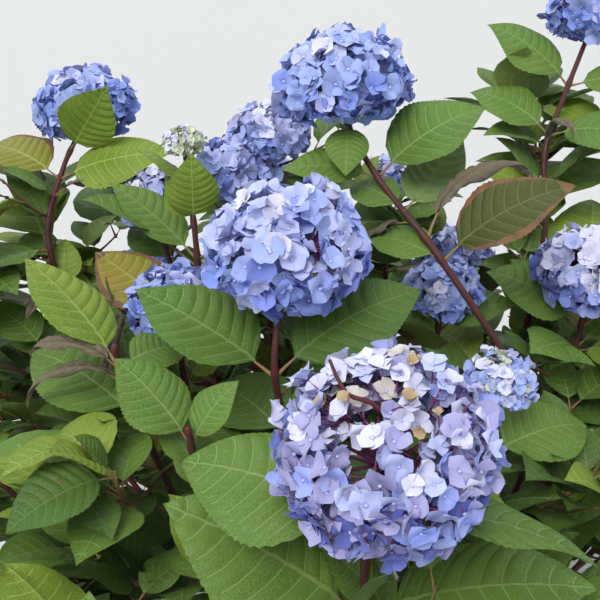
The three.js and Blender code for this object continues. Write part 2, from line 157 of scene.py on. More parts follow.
# The shoots of the front, by the same plan as the solids: the middle and width of the flower head, the
# azimuth and tilt that it faces, the stem's foot and the points it passes, and the pairs of leaves by how
# far below the head they stand and where their tips are.
FRONT_SHOOTS = [
    dict(name="front", head=(-32, -420, 716), width=188, lean=(262, 26), hollow=0.34, drop=0.0,
         foot=(-30, -300, 300), via=[(-44, -415, 520), (-42, -428, 640)],
         pairs=[(76, (-209, -358, 657), (146, -452, 618)), (190, (-221, -389, 635), (156, -438, 583))]),
    dict(name="centre", head=(-114, -184, 795), width=175, lean=(262, 10), drop=0.02, foot=(-80, -130, 350),
         via=[(-105, -190, 540), (-126, -236, 688)],
         pairs=[(138, (-276, -168, 742), (31, -165, 739)), (250, (-205, -80, 572))]),
    dict(name="top", head=(-50, 16, 936), width=165, lean=(190, 6), drop=0.09, foot=(135, -100, 440),
         via=[(154, -150, 593), (58, -120, 753), (-10, -42, 826), (-44, -6, 880)],
         pairs=[(62, (-49, -74, 836)), (135, (-122, -20, 828), (116, -6, 899)),
                (190, (-39, -7, 804), (92, 16, 873)), (262, (-21, -59, 758), (199, -110, 838))]),
    dict(name="left", head=(-411, 243, 852), width=152, lean=(150, 10), foot=(-330, 70, 380),
         via=[(-444, 95, 690), (-432, 158, 775)],
         pairs=[(88, (-352, 139, 897)), (135, (-555, 225, 790), (-274, 149, 803))]),
    dict(name="right", head=(259, -28, 707), width=145, lean=(-20, 12), foot=(180, -20, 270),
         via=[(255, -30, 620)],
         pairs=[(78, (139, 18, 682), (400, -70, 690)), (112, (166, -124, 640), (372, 30, 640))]),
    dict(name="tall", head=(327, 287, 985), width=150, lean=(40, 10), drop=0.13, foot=(215, 110, 430),
         via=[(238, 110, 690), (237, 153, 807), (270, 206, 871)],
         pairs=[(138, (167, 273, 957), (400, 170, 900)), (222, (143, 237, 868), (370, 80, 830))]),
    dict(name="behind", head=(83, 3, 668), width=100, lean=(0, 4), foot=(60, 30, 300), via=[(78, 10, 520)],
         pairs=[(56, (178, -14, 650))]),
    dict(name="young", head=(115, -200, 653), width=75, lean=(-50, 14), foot=(90, -170, 290),
         via=[(104, -222, 560)], pairs=[(92, (-10, -235, 600), (231, -162, 567))]),
    dict(name="left_middle", head=(-246, -92, 692), width=120, lean=(200, 10), foot=(-170, -80, 290),
         via=[(-240, -92, 580)], pairs=[(24, (-353, -17, 724), (-160, -150, 655))]),
    dict(name="pair", head=(-141, 146, 833), width=115, lean=(120, 6), foot=(-110, 90, 380),
         via=[(-150, 120, 620)], pairs=[], heads=[(-188, 130, 782, 122)]),
    dict(name="pale", head=(-244, 45, 847), width=52, lean=(180, 4), foot=(-170, 30, 380),
         via=[(-226, 4, 600), (-231, 8, 726)],
         pairs=[(102, (-229, -5, 846), (-266, 23, 810)), (148, (-347, 72, 785), (-105, -15, 740))]),
    dict(name="left_front", head=(-288, -232, 708), width=0, lean=(230, 12), foot=(-215, -150, 330),
         via=[(-282, -215, 640)],
         pairs=[(30, (-404, -125, 760), (-225, -165, 668)), (112, (-412, -120, 640), (-318, -70, 655))]),
    dict(name="left_low", head=(-205, -322, 670), width=0, lean=(240, 10), foot=(-150, -220, 300),
         via=[(-196, -310, 580)], pairs=[(22, (-278, -276, 718), (-157, -292, 703))]),
]

# The bare branch that arches across the front head's hollow, from the middle of the head
SPENT_BRANCH = [(4, -4, 24), (-11, -2, 42), (-30, 0, 49), (-38, 12, 56), (-44, 32, 62)]
SPENT_THICKNESS = (2.4, 1.4)

# The stems that show in the front view, from which share of their length up, how much is kept open round
# them and of a head's outline, and from where up they bear no fine twigs
SHOWN_STEMS = {"top": 0.3, "tall": 0.4, "left": 0.3, "centre": 0.5}
SHOWN_MARGIN, SHOWN_HEAD_SHARE = 8, 0.94
BARE_ABOVE = {"top": 0.35, "tall": 0.45}

# The rings of shoots at the sides and the back: azimuths, radius, heights, width of the heads, the foot as
# a share of the radius, and the shoots that have leaves only
RINGS = [
    dict(name="rim", first=-128, step=32.7, count=11, radius=505, front=455, back=560, width=145, foot=0.6,
         leafy=(0, 9, 10)),
    dict(name="back", first=82, step=38, count=3, radius=325, front=735, back=735, width=105, foot=0.6,
         leafy=()),
]
RING_FOOT_HEIGHT = 0.36
RING_SCATTER, RING_WIDTH_SCATTER = 26, 14
RING_VIA = 0.55
RING_TILT, RING_TILT_REACH = 14, 30
RING_KEY = 90


# Numbers, directions and curves

def chance(*keys):
    """A number from 0 to 1 that depends only on its whole-number keys."""
    h = SEED
    for key in keys:
        h = ((h ^ (key + 1)) * 0x9E3779B1) & 0xFFFFFFFF
        h ^= h >> 15
    return ((h >> 8) & 0xFFFF) / 65536


def spread(amount, *keys):
    return amount * (2 * chance(*keys) - 1)


def heading(azimuth, rise):
    """The unit vectors of azimuths and rises above the horizontal, in degrees."""
    a, e = np.radians(azimuth), np.radians(rise)
    return np.stack([np.cos(a) * np.cos(e), np.sin(a) * np.cos(e), np.sin(e) + 0 * a], axis=-1)


def azimuth_of(v):
    return math.degrees(math.atan2(v[1], v[0]))


def unit(v):
    return v / np.maximum(np.linalg.norm(v, axis=-1, keepdims=True), 1e-9)


def dot(a, b):
    return np.sum(a * b, axis=-1)


def round_turns(count):
    """Evenly spaced angles round a whole turn."""
    return np.linspace(0, 2 * math.pi, count, endpoint=False)


class Curve:
    """A line through space, kept as dense points and read by the share of its length."""

    def __init__(self, points):
        self.points = points
        steps = np.linalg.norm(np.diff(points, axis=0), axis=1)
        self.far = np.concatenate([[0.0], np.cumsum(steps)])
        self.length = self.far[-1]

    def at(self, share):
        far = np.asarray(share) * self.length
        return np.stack([np.interp(far, self.far, self.points[:, k]) for k in range(3)], axis=-1)

    def way(self, share):
        share = np.asarray(share, dtype=float)
        return unit(self.at(np.minimum(share + 0.02, 1)) - self.at(np.maximum(share - 0.02, 0)))


def through(knots, dense=60):
    """A centripetal Catmull-Rom line: each span is the cubic whose ends have the slopes that its neighbours
    give it, each neighbour weighed by the square root of its distance."""
    p = np.array(knots, dtype=float)
    p = np.vstack([2 * p[0] - p[1], p, 2 * p[-1] - p[-2]])
    w = np.linspace(0, 1, dense, endpoint=False)[:, None]
    spans = []
    for p0, p1, p2, p3 in zip(p, p[1:], p[2:], p[3:]):
        d0, d1, d2 = (math.sqrt(np.linalg.norm(b - a)) for a, b in ((p0, p1), (p1, p2), (p2, p3)))
        t1 = ((p1 - p0) / d0 - (p2 - p0) / (d0 + d1) + (p2 - p1) / d1) * d1
        t2 = ((p2 - p1) / d1 - (p3 - p1) / (d1 + d2) + (p3 - p2) / d2) * d1
        spans.append(p1 + t1 * w + (3 * (p2 - p1) - 2 * t1 - t2) * w**2 + (2 * (p1 - p2) + t1 + t2) * w**3)
    return Curve(np.vstack([*spans, p[-2:-1]]))


def bend(a, b, c, d, dense=60):
    """A cubic Bezier line: the four points weighed by the cubic Bernstein numbers."""
    t = np.linspace(0, 1, dense)[:, None]
    return Curve(a * (1 - t)**3 + 3 * b * t * (1 - t)**2 + 3 * c * t**2 * (1 - t) + d * t**3)


def seen_from_front(points):
    """Where points stand in the front view: aside and up as shares of the depth, then the depth."""
    gap = points - EYE
    depth = gap @ AIM
    return np.stack([gap @ (1.0, 0, 0) / depth, gap @ EYE_UP / depth, depth], axis=-1)


# The plan of the shoots

def ring_shoots():
    """The plans of the rings' shoots: each stands near its ring's radius and height, leans outwards, and is
    lower in front than at the back."""
    shoots = []
    for r, ring in enumerate(RINGS):
        for i in range(ring["count"]):
            keys = (RING_KEY + r, i)
            azimuth = ring["first"] + ring["step"] * i
            towards = heading(azimuth, 0)
            radius = ring["radius"] + spread(RING_SCATTER, *keys, 1)
            at_back = (towards[1] + 1) / 2
            height = ring["front"] + (ring["back"] - ring["front"]) * at_back
            height += spread(RING_SCATTER, *keys, 2)
            head = towards * radius + UP * height
            foot = towards * radius * ring["foot"] + UP * height * RING_FOOT_HEIGHT
            width = 0 if i in ring["leafy"] else round(ring["width"] + spread(RING_WIDTH_SCATTER, *keys, 3))
            shoots.append(dict(name=f"{ring['name']}_{i + 1}", head=head, width=width,
                               lean=(azimuth, RING_TILT + radius / RING_TILT_REACH), foot=foot,
                               via=[foot + RING_VIA * (head - foot)], pairs=[]))
    return shoots


def twig_to(stem, share, tip):
    """A twig leaves its stem sideways in a curve and ends upright."""
    root = stem.at(share)
    aside = (tip - root) * (1, 1, 0)
    return bend(root, root + 0.55 * aside, tip - UP * 0.3 * np.linalg.norm(tip - root), tip)


def fine_twig_to(stem, share, tip):
    """A fine twig runs nearly straight, a little upwards at its end."""
    root = stem.at(share)
    reach = tip - root
    return bend(root, root + reach * (0.4, 0.4, 0.25), tip - reach * (0.35, 0.35, 0.5), tip)


def make_shoot(plan, index):
    """A shoot's own stem, its twigs and its flower heads."""
    head = np.array(plan["head"], dtype=float)
    up = heading(plan["lean"][0], 90 - plan["lean"][1])
    width = plan["width"]
    stem = through([plan["foot"], *plan["via"], head - up * width * HEAD_SEAT])
    limbs = [dict(curve=stem, foot=STEM_FOOT, tip=STEM_TIP, pairs=plan["pairs"], key=STEM)]
    lowered = head - UP * width * plan.get("drop", HEAD_DROP)
    heads = [dict(at=lowered, up=up, width=width, hollow=plan.get("hollow", 0))] if width else []
    for x, y, z, wide in plan.get("heads", ()):
        at = np.array([x, y, z], dtype=float)
        curve = twig_to(stem, SECOND_PLACE, at - UP * wide * HEAD_SEAT)
        limbs.append(dict(curve=curve, foot=TWIG_FOOT, tip=TWIG_TIP, pairs=[], key=SECOND))
        heads.append(dict(at=at, up=UP, width=wide, hollow=0))
    for k, along in enumerate(TWIG_PLACES):
        root = stem.at(along)
        turn = TWIG_TURN + spread(TWIG_TURN_SCATTER, index, k, 5)
        azimuth = azimuth_of(root) + (1 if k % 2 else -1) * turn
        reach = TWIG_REACH * (1 + spread(TWIG_REACH_SCATTER, index, k, 6))
        tip = root + heading(azimuth, TWIG_RISE + spread(TWIG_RISE_SCATTER, index, k, 7)) * reach
        curve = twig_to(stem, along, tip)
        limbs.append(dict(curve=curve, foot=TWIG_FOOT, tip=TWIG_TIP, pairs=[], key=TWIG + k))
    return dict(plan, index=index, stem=stem, limbs=limbs, heads=heads, leaves=[],
                start=stem.way(0), foot_point=np.array(plan["foot"], dtype=float))


def below_tip(curve, drop):
    """The point of a limb that lies so far below its tip, kept off its ends."""
    return curve.at(np.clip(1 - drop / curve.length, 0.03, 0.985))


def leaves_wanted(shoot, limb):
    """The pairs of leaves on a limb: the stated ones, then one pair at every node, each pair turned by a
    right angle from the one above."""
    wanted = []
    curve, key, index = limb["curve"], limb["key"], shoot["index"]
    is_main = key == STEM
    seat = shoot["width"] * HEAD_SEAT if is_main else 0
    drop = FIRST_NODE if is_main and shoot["width"] else TIP_NODE
    turn = azimuth_of(shoot["head"]) + 180 * chance(index, key, 8)
    for below, *tips in limb["pairs"]:
        drop = below - seat
        root = below_tip(curve, drop)
        for tip in tips:
            reach = np.array(tip) - root
            size = np.linalg.norm(reach)
            turn = azimuth_of(reach) + 90
            place = len(wanted)
            wanted.append(dict(root=root, azimuth=turn - 90, rise=math.degrees(math.asin(reach[2] / size)),
                               size=size, stated=place, key=(index, key, place)))
        drop += NODE_GAP
    node = 0
    while drop < curve.length - FOOT_MARGIN:
        for side in range(2):
            keys = (index, key, node, side)
            young = YOUNG_LEAF if node == 0 and not limb["pairs"] else 1
            wanted.append(dict(
                root=below_tip(curve, drop), stated=None, key=keys,
                azimuth=turn + 180 * side + spread(LEAF_TURN_SCATTER, *keys, 1),
                rise=(NEXT_RISE - RISE_STEP * (node - 1) if node else TOP_RISE)
                + spread(LEAF_RISE_SCATTER, *keys, 2),
                size=LEAF_LENGTH * young * (1 + spread(LEAF_LENGTH_SCATTER, *keys, 3))))
        turn += 90 + spread(PAIR_TURN_SCATTER, index, key, node, 4)
        drop += NODE_GAP * (1 if is_main else TWIG_GAP_SHARE)
        node += 1
    return wanted


def wanted_of(shoot, stated):
    """The wanted leaves of all of a shoot's limbs, either the stated ones or the others."""
    every = (leaf for limb in shoot["limbs"] for leaf in leaves_wanted(shoot, limb))
    return [leaf for leaf in every if (leaf["stated"] is not None) == stated]


# Dead leaves, rolled up, by where they end: on the stem of a named shoot, or on the nearest limb of all
DRY_TIPS = [
    ("top", (180, -5, 812)), ("top", (0, -70, 745)), ("left", (-326, 102, 743)),
    ("", (-350, -90, 690)), ("", (-315, -130, 640)), ("", (-280, -290, 565)), ("", (240, 90, 830)),
    ("", (60, -330, 560)), ("", (-430, 60, 620)), ("", (330, 60, 640)), ("", (380, -260, 470)),
    ("", (-90, 330, 640)), ("", (260, 420, 560)), ("", (-420, 300, 560)), ("", (470, 200, 480)),
    ("", (-240, 480, 470)), ("left_front", (-380, -200, 676)), ("left_front", (-335, -224, 640)),
]
DRY_REACH = 200
DRY_SIZE = 105
DRY_KEY = 900


def dry_leaves(shoots):
    """Each dead leaf goes from the nearest point of a limb to its own tip."""
    shares = np.linspace(0.1, 0.95, 40)
    for k, (name, tip) in enumerate(DRY_TIPS):
        tip = np.array(tip, dtype=float)
        named = [(s["stem"], s) for s in shoots if s["name"] == name]
        choice = named or [(limb["curve"], s) for s in shoots for limb in s["limbs"]]
        near = [(np.linalg.norm(curve.at(shares) - tip, axis=1), curve, s) for curve, s in choice]
        gaps, curve, shoot = min(near, key=lambda one: one[0].min())
        root = curve.at(shares[gaps.argmin()])
        size = np.linalg.norm(tip - root)
        if size < DRY_REACH:
            away = unit(tip - root)
            shoot["leaves"].append(dict(root=root, azimuth=azimuth_of(away), stated=None, key=(DRY_KEY, k),
                                        rise=math.degrees(math.asin(away[2])), size=max(size, DRY_SIZE),
                                        tint="dry"))


# Finding room for leaves and fine twigs

def leaf_axes(azimuth, rise):
    """A leaf's axes before it rolls: along it, level across it, and out of its face."""
    along = heading(azimuth, rise)
    level = heading(azimuth + 90, 0 * azimuth)
    return along, level, unit(np.cross(along, level))


def leaf_outlines(root, azimuth, rise, size):
    """The outlines of leaves, for finding room: each leaf's line climbs from the root and arches over to the
    tip, and its halves fold up from the midrib. Azimuth, rise and size are arrays over the leaves."""
    along, across, out = leaf_axes(azimuth, rise)
    share, side = np.array(OUTLINE_SHARE), np.array(OUTLINE_SIDE) * LEAF_WIDTH / 2
    lift = LEAF_ARCH * 4 * share * (1 - share) + LEAF_FOLD * (side != 0)
    steps = sum(part[:, None] * way[:, None] for part, way in ((share, along), (side, across), (lift, out)))
    return root + size[:, None, None] * steps


def probes(outlines):
    """The points by which leaves are tried: their outlines and midribs, and the middles of their edges."""
    ring = outlines[:, :6]
    return np.concatenate([outlines[:, 1:], (ring[:, 1:] + ring[:, :-1]) / 2], axis=1)


def leaf_shape(leaf, points=None):
    """One leaf's outline as six triangles round its middle, with its edges and its midrib."""
    if points is None:
        points = leaf_outlines(leaf["root"], *(np.array([leaf[k]]) for k in ("azimuth", "rise", "size")))[0]
    ring = points[:6]
    following = np.roll(ring, -1, axis=0)
    triangles = np.stack([np.broadcast_to(points[6], ring.shape), ring, following], axis=1)
    edges = np.concatenate([np.stack([ring, following], axis=1), points[[[0, 6], [6, 3]]]])
    return dict(triangles=triangles, edges=edges, root=leaf["root"], middle=points[6], size=leaf["size"])


def crossing(edges, triangles, roots, clear):
    """Whether any straight edge goes through any triangle further than clear from its leaf's root, by
    Moller and Trumbore's products, all pairs at once."""
    start = edges[:, 0][:, None]
    ray = (edges[:, 1] - edges[:, 0])[:, None]
    a = triangles[:, 0]
    ab = triangles[:, 1] - a
    ac = triangles[:, 2] - a
    p = np.cross(ray, ac[None])
    det = dot(p, ab[None])
    inv = 1 / np.where(np.abs(det) < 1e-9, np.inf, det)
    s = start - a[None]
    u = dot(s, p) * inv
    q = np.cross(s, ab[None])
    v = dot(ray, q) * inv
    t = dot(ac[None], q) * inv
    met = (u >= 0) & (v >= 0) & (u + v <= 1) & (t > 0) & (t < 1) & (inv != 0)
    if not met.any():
        return False
    e, f = np.nonzero(met)
    hit = start[e, 0] + ray[e, 0] * t[e, f][:, None]
    return bool((np.linalg.norm(hit - roots[f], axis=1) > clear[f]).any())


class Bones:
    """Straight bones with a thickness."""

    def __init__(self, a, b, thick):
        self.a, self.line, self.thick = a, b - a, thick
        self.length2 = np.maximum(dot(self.line, self.line), 1e-9)

    def gaps(self, points):
        """How far each point is from each bone, less the bone's thickness: along the bone it counts to the
        point's share of the bone, kept between the two ends."""
        along = points @ self.line.T - dot(self.a, self.line)
        share = np.clip(along / self.length2, 0, 1)
        away2 = dot(points, points)[:, None] - 2 * points @ self.a.T + dot(self.a, self.a)
        return np.sqrt(np.maximum(away2 - 2 * share * along + share**2 * self.length2, 0)) - self.thick


def straight_pieces(curve, count):
    """A line cut into straight pieces, as an array of pieces by two ends by 3."""
    line = curve.at(np.linspace(0, 1, count + 1))
    return np.stack([line[:-1], line[1:]], axis=1)


def skeleton_of(shoot):
    """A shoot's bones: what lies nearer to them than to any other's is the shoot's own space."""
    rows = []
    for limb in shoot["limbs"]:
        rows += [(a, b, STEM_FOOT) for a, b in straight_pieces(limb["curve"], 6)]
    rows += [(head["at"], head["at"], head["width"] * HEAD_BONE_SHARE) for head in shoot["heads"]]
    for leaf in wanted_of(shoot, stated=True):
        rows += [(a, b, LEAF_BONE) for a, b in leaf_shape(leaf)["edges"]]
    return rows


class Room:
    """What the crown holds so far: bones of every shoot, heads, canes, stems and leaves, and what is kept
    in sight from the front."""

    def __init__(self, shoots, canes):
        rows = [(a, b, thick, s["index"]) for s in shoots for a, b, thick in skeleton_of(s)]
        self.bones = Bones(*(np.array([row[k] for row in rows]) for k in range(3)))
        self.owner = np.array([row[3] for row in rows])
        pieces = np.vstack([straight_pieces(cane, 6) for cane in canes])
        self.canes = Bones(pieces[:, 0].copy(), pieces[:, 1].copy(), CANE_FOOT)
        heads = [head for s in shoots for head in s["heads"]]
        self.head_at, self.head_up = (np.array([h[k] for h in heads]) for k in ("at", "up"))
        self.head_half = np.array([h["width"] / 2 + HEAD_GAP for h in heads])
        self.stems = np.vstack([straight_pieces(limb["curve"], 8) for s in shoots for limb in s["limbs"]])
        count = sum(len(s["heads"]) for s in shoots[:len(FRONT_SHOOTS)])
        front = seen_from_front(self.head_at[:count])
        shown = [s["stem"].at(np.linspace(SHOWN_STEMS[s["name"]], 0.97, 24))
                 for s in shoots if s["name"] in SHOWN_STEMS]
        stems = seen_from_front(np.vstack(shown))
        half = self.head_half[:count] / front[:, 2] * SHOWN_HEAD_SHARE
        self.front_heads = np.vstack([np.column_stack([front, half]),
                                      np.column_stack([stems, SHOWN_MARGIN / stems[:, 2]])])
        self.front_leaves, self.front_depth = np.zeros((0, 6, 2)), np.zeros(0)
        self.leaves = []
        self.leaf_middle = np.zeros((0, 3))
        self.leaf_size = np.zeros(0)

    def in_head(self, points):
        gap = points[:, None] - self.head_at[None]
        height = dot(gap, self.head_up[None])
        deep = self.head_half * HEAD_HEIGHT * np.where(height < 0, HEAD_UNDERSIDE, 1)
        aside2 = dot(gap, gap) - height**2
        return (aside2 / self.head_half**2 + (height / deep)**2 < 1).any(axis=1)

    def hides_front(self, points):
        """Whether each point stands before a flower head, a shown stem or a stated leaf in the front view. It
        is inside a leaf's outline where it lies on the same side of all the outline's edges."""
        seen = seen_from_front(points)
        gap = np.hypot(*(seen[:, None, :2] - self.front_heads[None, :, :2]).transpose(2, 0, 1))
        hidden = ((gap < self.front_heads[:, 3]) & (seen[:, None, 2] < self.front_heads[:, 2])).any(axis=1)
        edge = np.roll(self.front_leaves, -1, axis=1) - self.front_leaves
        to = seen[:, None, None, :2] - self.front_leaves
        turns = edge[..., 0] * to[..., 1] - edge[..., 1] * to[..., 0]
        inside = (turns > 0).all(axis=2) | (turns < 0).all(axis=2)
        return hidden | (inside & (seen[:, None, 2] < self.front_depth)).any(axis=1)

    def is_open(self, points):
        """Of each row of points, whether all lie in the box, above the ground, off the flower heads and the
        canes, and hide nothing of the front."""
        flat = points.reshape(-1, 3)
        low, high = np.array(cad_box) / MM
        good = ((flat > low - BOX_SLACK) & (flat < high + BOX_SLACK)).all(axis=1) & (flat[:, 2] > GROUND_GAP)
        good &= ~self.in_head(flat) & ~self.hides_front(flat)
        good &= self.canes.gaps(flat).min(axis=1) > LIMB_GAP
        return good.reshape(points.shape[:-1]).all(axis=1)

    def in_own_space(self, points, index):
        gaps = self.bones.gaps(points)
        mine = self.owner == index
        return bool((gaps[:, ~mine].min(axis=1) > gaps[:, mine].min(axis=1) + SPACE_GAP).all())

    def clear_of_leaves(self, shape):
        """Whether a leaf neither crosses another leaf nor is pierced by a stem, apart from their roots."""
        gaps = np.linalg.norm(self.leaf_middle - shape["middle"], axis=1)
        near = gaps < (self.leaf_size + shape["size"]) * NEAR_SHARE
        if near.any():
            if gaps[near].min() < MIDDLE_GAP:
                return False
            others = [self.leaves[i] for i in np.nonzero(near)[0]]
            triangles = np.concatenate([o["triangles"] for o in others])
            edges = np.concatenate([o["edges"] for o in others])
            roots = np.repeat([o["root"] for o in others], 6, axis=0)
            clear = np.repeat([o["size"] * ROOT_SHARE for o in others], 6)
            if crossing(shape["edges"], triangles, roots, clear) or self.pierced(edges, shape):
                return False
        reach = np.linalg.norm(self.stems.mean(axis=1) - shape["middle"], axis=1) < shape["size"]
        return not (reach.any() and self.pierced(self.stems[reach], shape))

    @staticmethod
    def pierced(edges, shape):
        roots = np.broadcast_to(shape["root"], (6, 3))
        return crossing(edges, shape["triangles"], roots, np.full(6, shape["size"] * ROOT_SHARE))

    def add_leaf(self, shape):
        self.leaves.append(shape)
        self.leaf_middle = np.vstack([self.leaf_middle, shape["middle"]])
        self.leaf_size = np.append(self.leaf_size, shape["size"])

    def add_stated(self, leaf):
        """Takes the place of a stated leaf and keeps the leaf in sight from the front."""
        shape = leaf_shape(leaf)
        outline = seen_from_front(shape["triangles"][:, 1])
        self.front_leaves = np.concatenate([self.front_leaves, outline[None, :, :2]])
        self.front_depth = np.append(self.front_depth, outline[:, 2].mean())
        self.add_leaf(shape)

    def add_stem(self, curve):
        self.stems = np.vstack([self.stems, straight_pieces(curve, 4)])


def place_leaf(leaf, shoot, room):
    """Of a wanted leaf, the first of its tries that finds room."""
    turn, lift, share = np.array(LEAF_TRIES).T
    azimuth, rise, size = leaf["azimuth"] + turn, leaf["rise"] + lift, leaf["size"] * share
    outlines = leaf_outlines(leaf["root"], azimuth, rise, size)
    points = probes(outlines)
    for k in np.nonzero(room.is_open(points))[0]:
        tried = dict(leaf, azimuth=azimuth[k], rise=rise[k], size=size[k])
        shape = leaf_shape(tried, outlines[k])
        if room.in_own_space(points[k], shoot["index"]) and room.clear_of_leaves(shape):
            room.add_leaf(shape)
            shoot["leaves"].append(tried)
            return


def fine_twigs(shoot, room):
    """Finer twigs on every limb, turned by the golden angle, each with its pairs of small leaves, then pairs
    of leaves that fill the limb from its tip down."""
    index = shoot["index"]
    for limb in list(shoot["limbs"]):
        is_main = limb["key"] == STEM
        bare = BARE_ABOVE.get(shoot["name"], 1) if is_main else 1
        curve = limb["curve"]
        for k, share in enumerate(FINE_PLACES if is_main else FINE_PLACES[3::2]):
            if share > bare:
                continue
            keys = (index, FINE_CHANCE + limb["key"], k)
            azimuth = azimuth_of(shoot["head"]) + math.degrees(GOLDEN) * (k + index)
            azimuth += spread(FINE_TURN_SCATTER, *keys, 1)
            reach = FINE_REACH * (1 + spread(FINE_REACH_SCATTER, *keys, 2))
            reach = reach * (1 if is_main else FINE_REACH_ON_TWIG)
            tip = curve.at(share) + heading(azimuth, FINE_RISE + spread(FINE_RISE_SCATTER, *keys, 3)) * reach
            twig = fine_twig_to(curve, share, tip)
            along = twig.at(np.linspace(0.2, 1, 6))
            if not (room.is_open(along[None])[0] and room.in_own_space(along, index)):
                continue
            room.add_stem(twig)
            shoot["limbs"].append(dict(curve=twig, foot=FINE_FOOT, tip=FINE_TIP, pairs=[], key=FINE + k))
            for node, (drop, size_share) in enumerate(FINE_PAIRS):
                for side in range(2):
                    more = (*keys, node, side)
                    size = FINE_LEAF * size_share * (1 + spread(SMALL_LEAF_SCATTER, *more, 3))
                    towards = azimuth + 90 * (node + 1) + 180 * side + spread(SMALL_TURN_SCATTER, *more, 1)
                    rise = FINE_LEAF_RISE + spread(SMALL_RISE_SCATTER, *more, 2)
                    place_leaf(dict(root=twig.at(1 - drop / twig.length), azimuth=towards, rise=rise,
                                    size=size, stated=None, key=more), shoot, room)
        drop = max(STEM_FILLING if is_main else TWIG_FILLING, (1 - bare) * curve.length)
        node = 0
        while drop < curve.length - FILLING_MARGIN:
            for side in range(2):
                more = (index, FILLING_CHANCE + limb["key"], node, side)
                size = FILLING_LEAF * (1 + spread(SMALL_LEAF_SCATTER, *more, 3))
                towards = azimuth_of(shoot["head"]) + FIRST_FILLING_TURN + FILLING_TURN * node + 180 * side
                rise = FILLING_RISE + spread(SMALL_RISE_SCATTER, *more, 2)
                place_leaf(dict(root=curve.at(1 - drop / curve.length), azimuth=towards, rise=rise,
                                size=size, stated=None, key=more), shoot, room)
            drop += FILLING_GAP
            node += 1


# The canes' curves

def spaced(azimuths):
    """Azimuths in rising order, pushed apart until no two neighbours are much nearer than an even spacing."""
    out = list(azimuths)
    least = (360 / len(out)) * SEAT_SPACING
    for _ in range(SEAT_ROUNDS):
        for i in range(len(out)):
            following = (i + 1) % len(out)
            lack = least - (out[following] - out[i] + (0 if following else 360))
            if lack > 0:
                out[i] -= lack / 2
                out[following] += lack / 2
    return out


def seat_canes(shoots):
    """Each cane's seat on the stool and its line to the foot of its stem."""
    waiting = sorted(shoots, key=lambda s: math.hypot(s["foot"][0], s["foot"][1]))
    for seats, radius, tilt in SEAT_RINGS:
        here = sorted(waiting[:seats], key=lambda s: azimuth_of(s["foot_point"]))
        waiting = waiting[seats:]
        height = max(top for r, top in STOOL_PROFILE if r >= radius)
        for shoot, azimuth in zip(here, spaced([azimuth_of(s["foot_point"]) for s in here])):
            seat = heading(azimuth, 0) * radius + UP * (height - SEAT_SINK)
            end = shoot["foot_point"]
            length = np.linalg.norm(end - seat)
            shoot["cane"] = bend(seat, seat + heading(azimuth, 90 - tilt) * length * CANE_LEAVES,
                                 end - shoot["start"] * length * CANE_ARRIVES, end)


# Heaps of faces that become meshes

# Where faces turn by more than this the shading breaks, as at the margins of leaves and sepals
MARGIN_ANGLE = math.radians(110)


def in_scene(name, data):
    """A new object in the scene, at the origin, with this mesh, light or camera."""
    thing = bpy.data.objects.new(name, data)
    bpy.context.collection.objects.link(thing)
    return thing


class Heap:
    """The faces of one kind, joined. A face is a row of four corners, and a triangle repeats its last."""

    def __init__(self):
        self.points, self.faces, self.slots, self.count = [], [], [], 0

    def add(self, points, faces, slot=0):
        """Adds one shape, or many copies of a shape as an array of copies by points by 3."""
        points = points if points.ndim == 3 else points[None]
        copies, size = points.shape[:2]
        starts = self.count + size * np.arange(copies)
        self.points.append(points.reshape(-1, 3))
        self.faces.append((faces[None] + starts[:, None, None]).reshape(-1, 4))
        self.slots.append(np.tile(np.broadcast_to(slot, len(faces)), copies))
        self.count += copies * size

    def finish(self, name, materials, nodes):
        """The heap as a mesh at the origin that stands for some of the frame's nodes."""
        points, faces = np.vstack(self.points), np.vstack(self.faces)
        is_quad = faces[:, 3] != faces[:, 2]
        corners = np.where(is_quad, 4, 3)
        kept = np.stack([np.ones(len(faces), bool)] * 3 + [is_quad], axis=1)
        mesh = bpy.data.meshes.new(name)
        mesh.vertices.add(len(points))
        mesh.vertices.foreach_set("co", (points * MM).astype(np.float32).ravel())
        mesh.loops.add(int(corners.sum()))
        mesh.loops.foreach_set("vertex_index", faces[kept].astype(np.int32))
        mesh.polygons.add(len(faces))
        starts = np.concatenate([[0], np.cumsum(corners)[:-1]])
        mesh.polygons.foreach_set("loop_start", starts.astype(np.int32))
        mesh.polygons.foreach_set("material_index", np.concatenate(self.slots).astype(np.int32))
        for material in materials:
            mesh.materials.append(material)
        mesh.update(calc_edges=True)
        mesh.shade_smooth()
        mesh.set_sharp_from_angle(angle=MARGIN_ANGLE)
        mesh.validate()
        piece = in_scene(name, mesh)
        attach(piece, "root")
        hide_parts(*nodes)
        return piece


def turned_over(faces):
    """The same faces seen from their other side, with each quad split along the same diagonal."""
    is_quad = faces[:, 3:] != faces[:, 2:3]
    return np.where(is_quad, faces[:, [0, 3, 2, 1]], faces[:, [0, 2, 1, 1]])


def grid_faces(height, width):
    """The quads of a grid of points, row by row, and the row and the column of each."""
    row, column = (a.ravel() for a in np.meshgrid(np.arange(height - 1), np.arange(width - 1), indexing="ij"))
    corner = row * width + column
    return np.stack([corner, corner + width, corner + width + 1, corner + 1], axis=1), row, column


def tube_faces(rings, sides):
    """The faces of a closed tube: rows of quads between its rings and a fan to a pole at each end."""
    i = np.arange(sides)
    j = (i + 1) % sides
    start = (np.arange(rings - 1) * sides)[:, None]
    walls = np.stack([start + i, start + j, start + j + sides, start + i + sides], axis=-1).reshape(-1, 4)
    last = (rings - 1) * sides
    foot_pole, tip_pole = rings * sides, rings * sides + 1
    foot = np.stack([j, i, np.full(sides, foot_pole), np.full(sides, foot_pole)], axis=1)
    tip = np.stack([last + i, last + j, np.full(sides, tip_pole), np.full(sides, tip_pole)], axis=1)
    return np.vstack([walls, foot, tip])


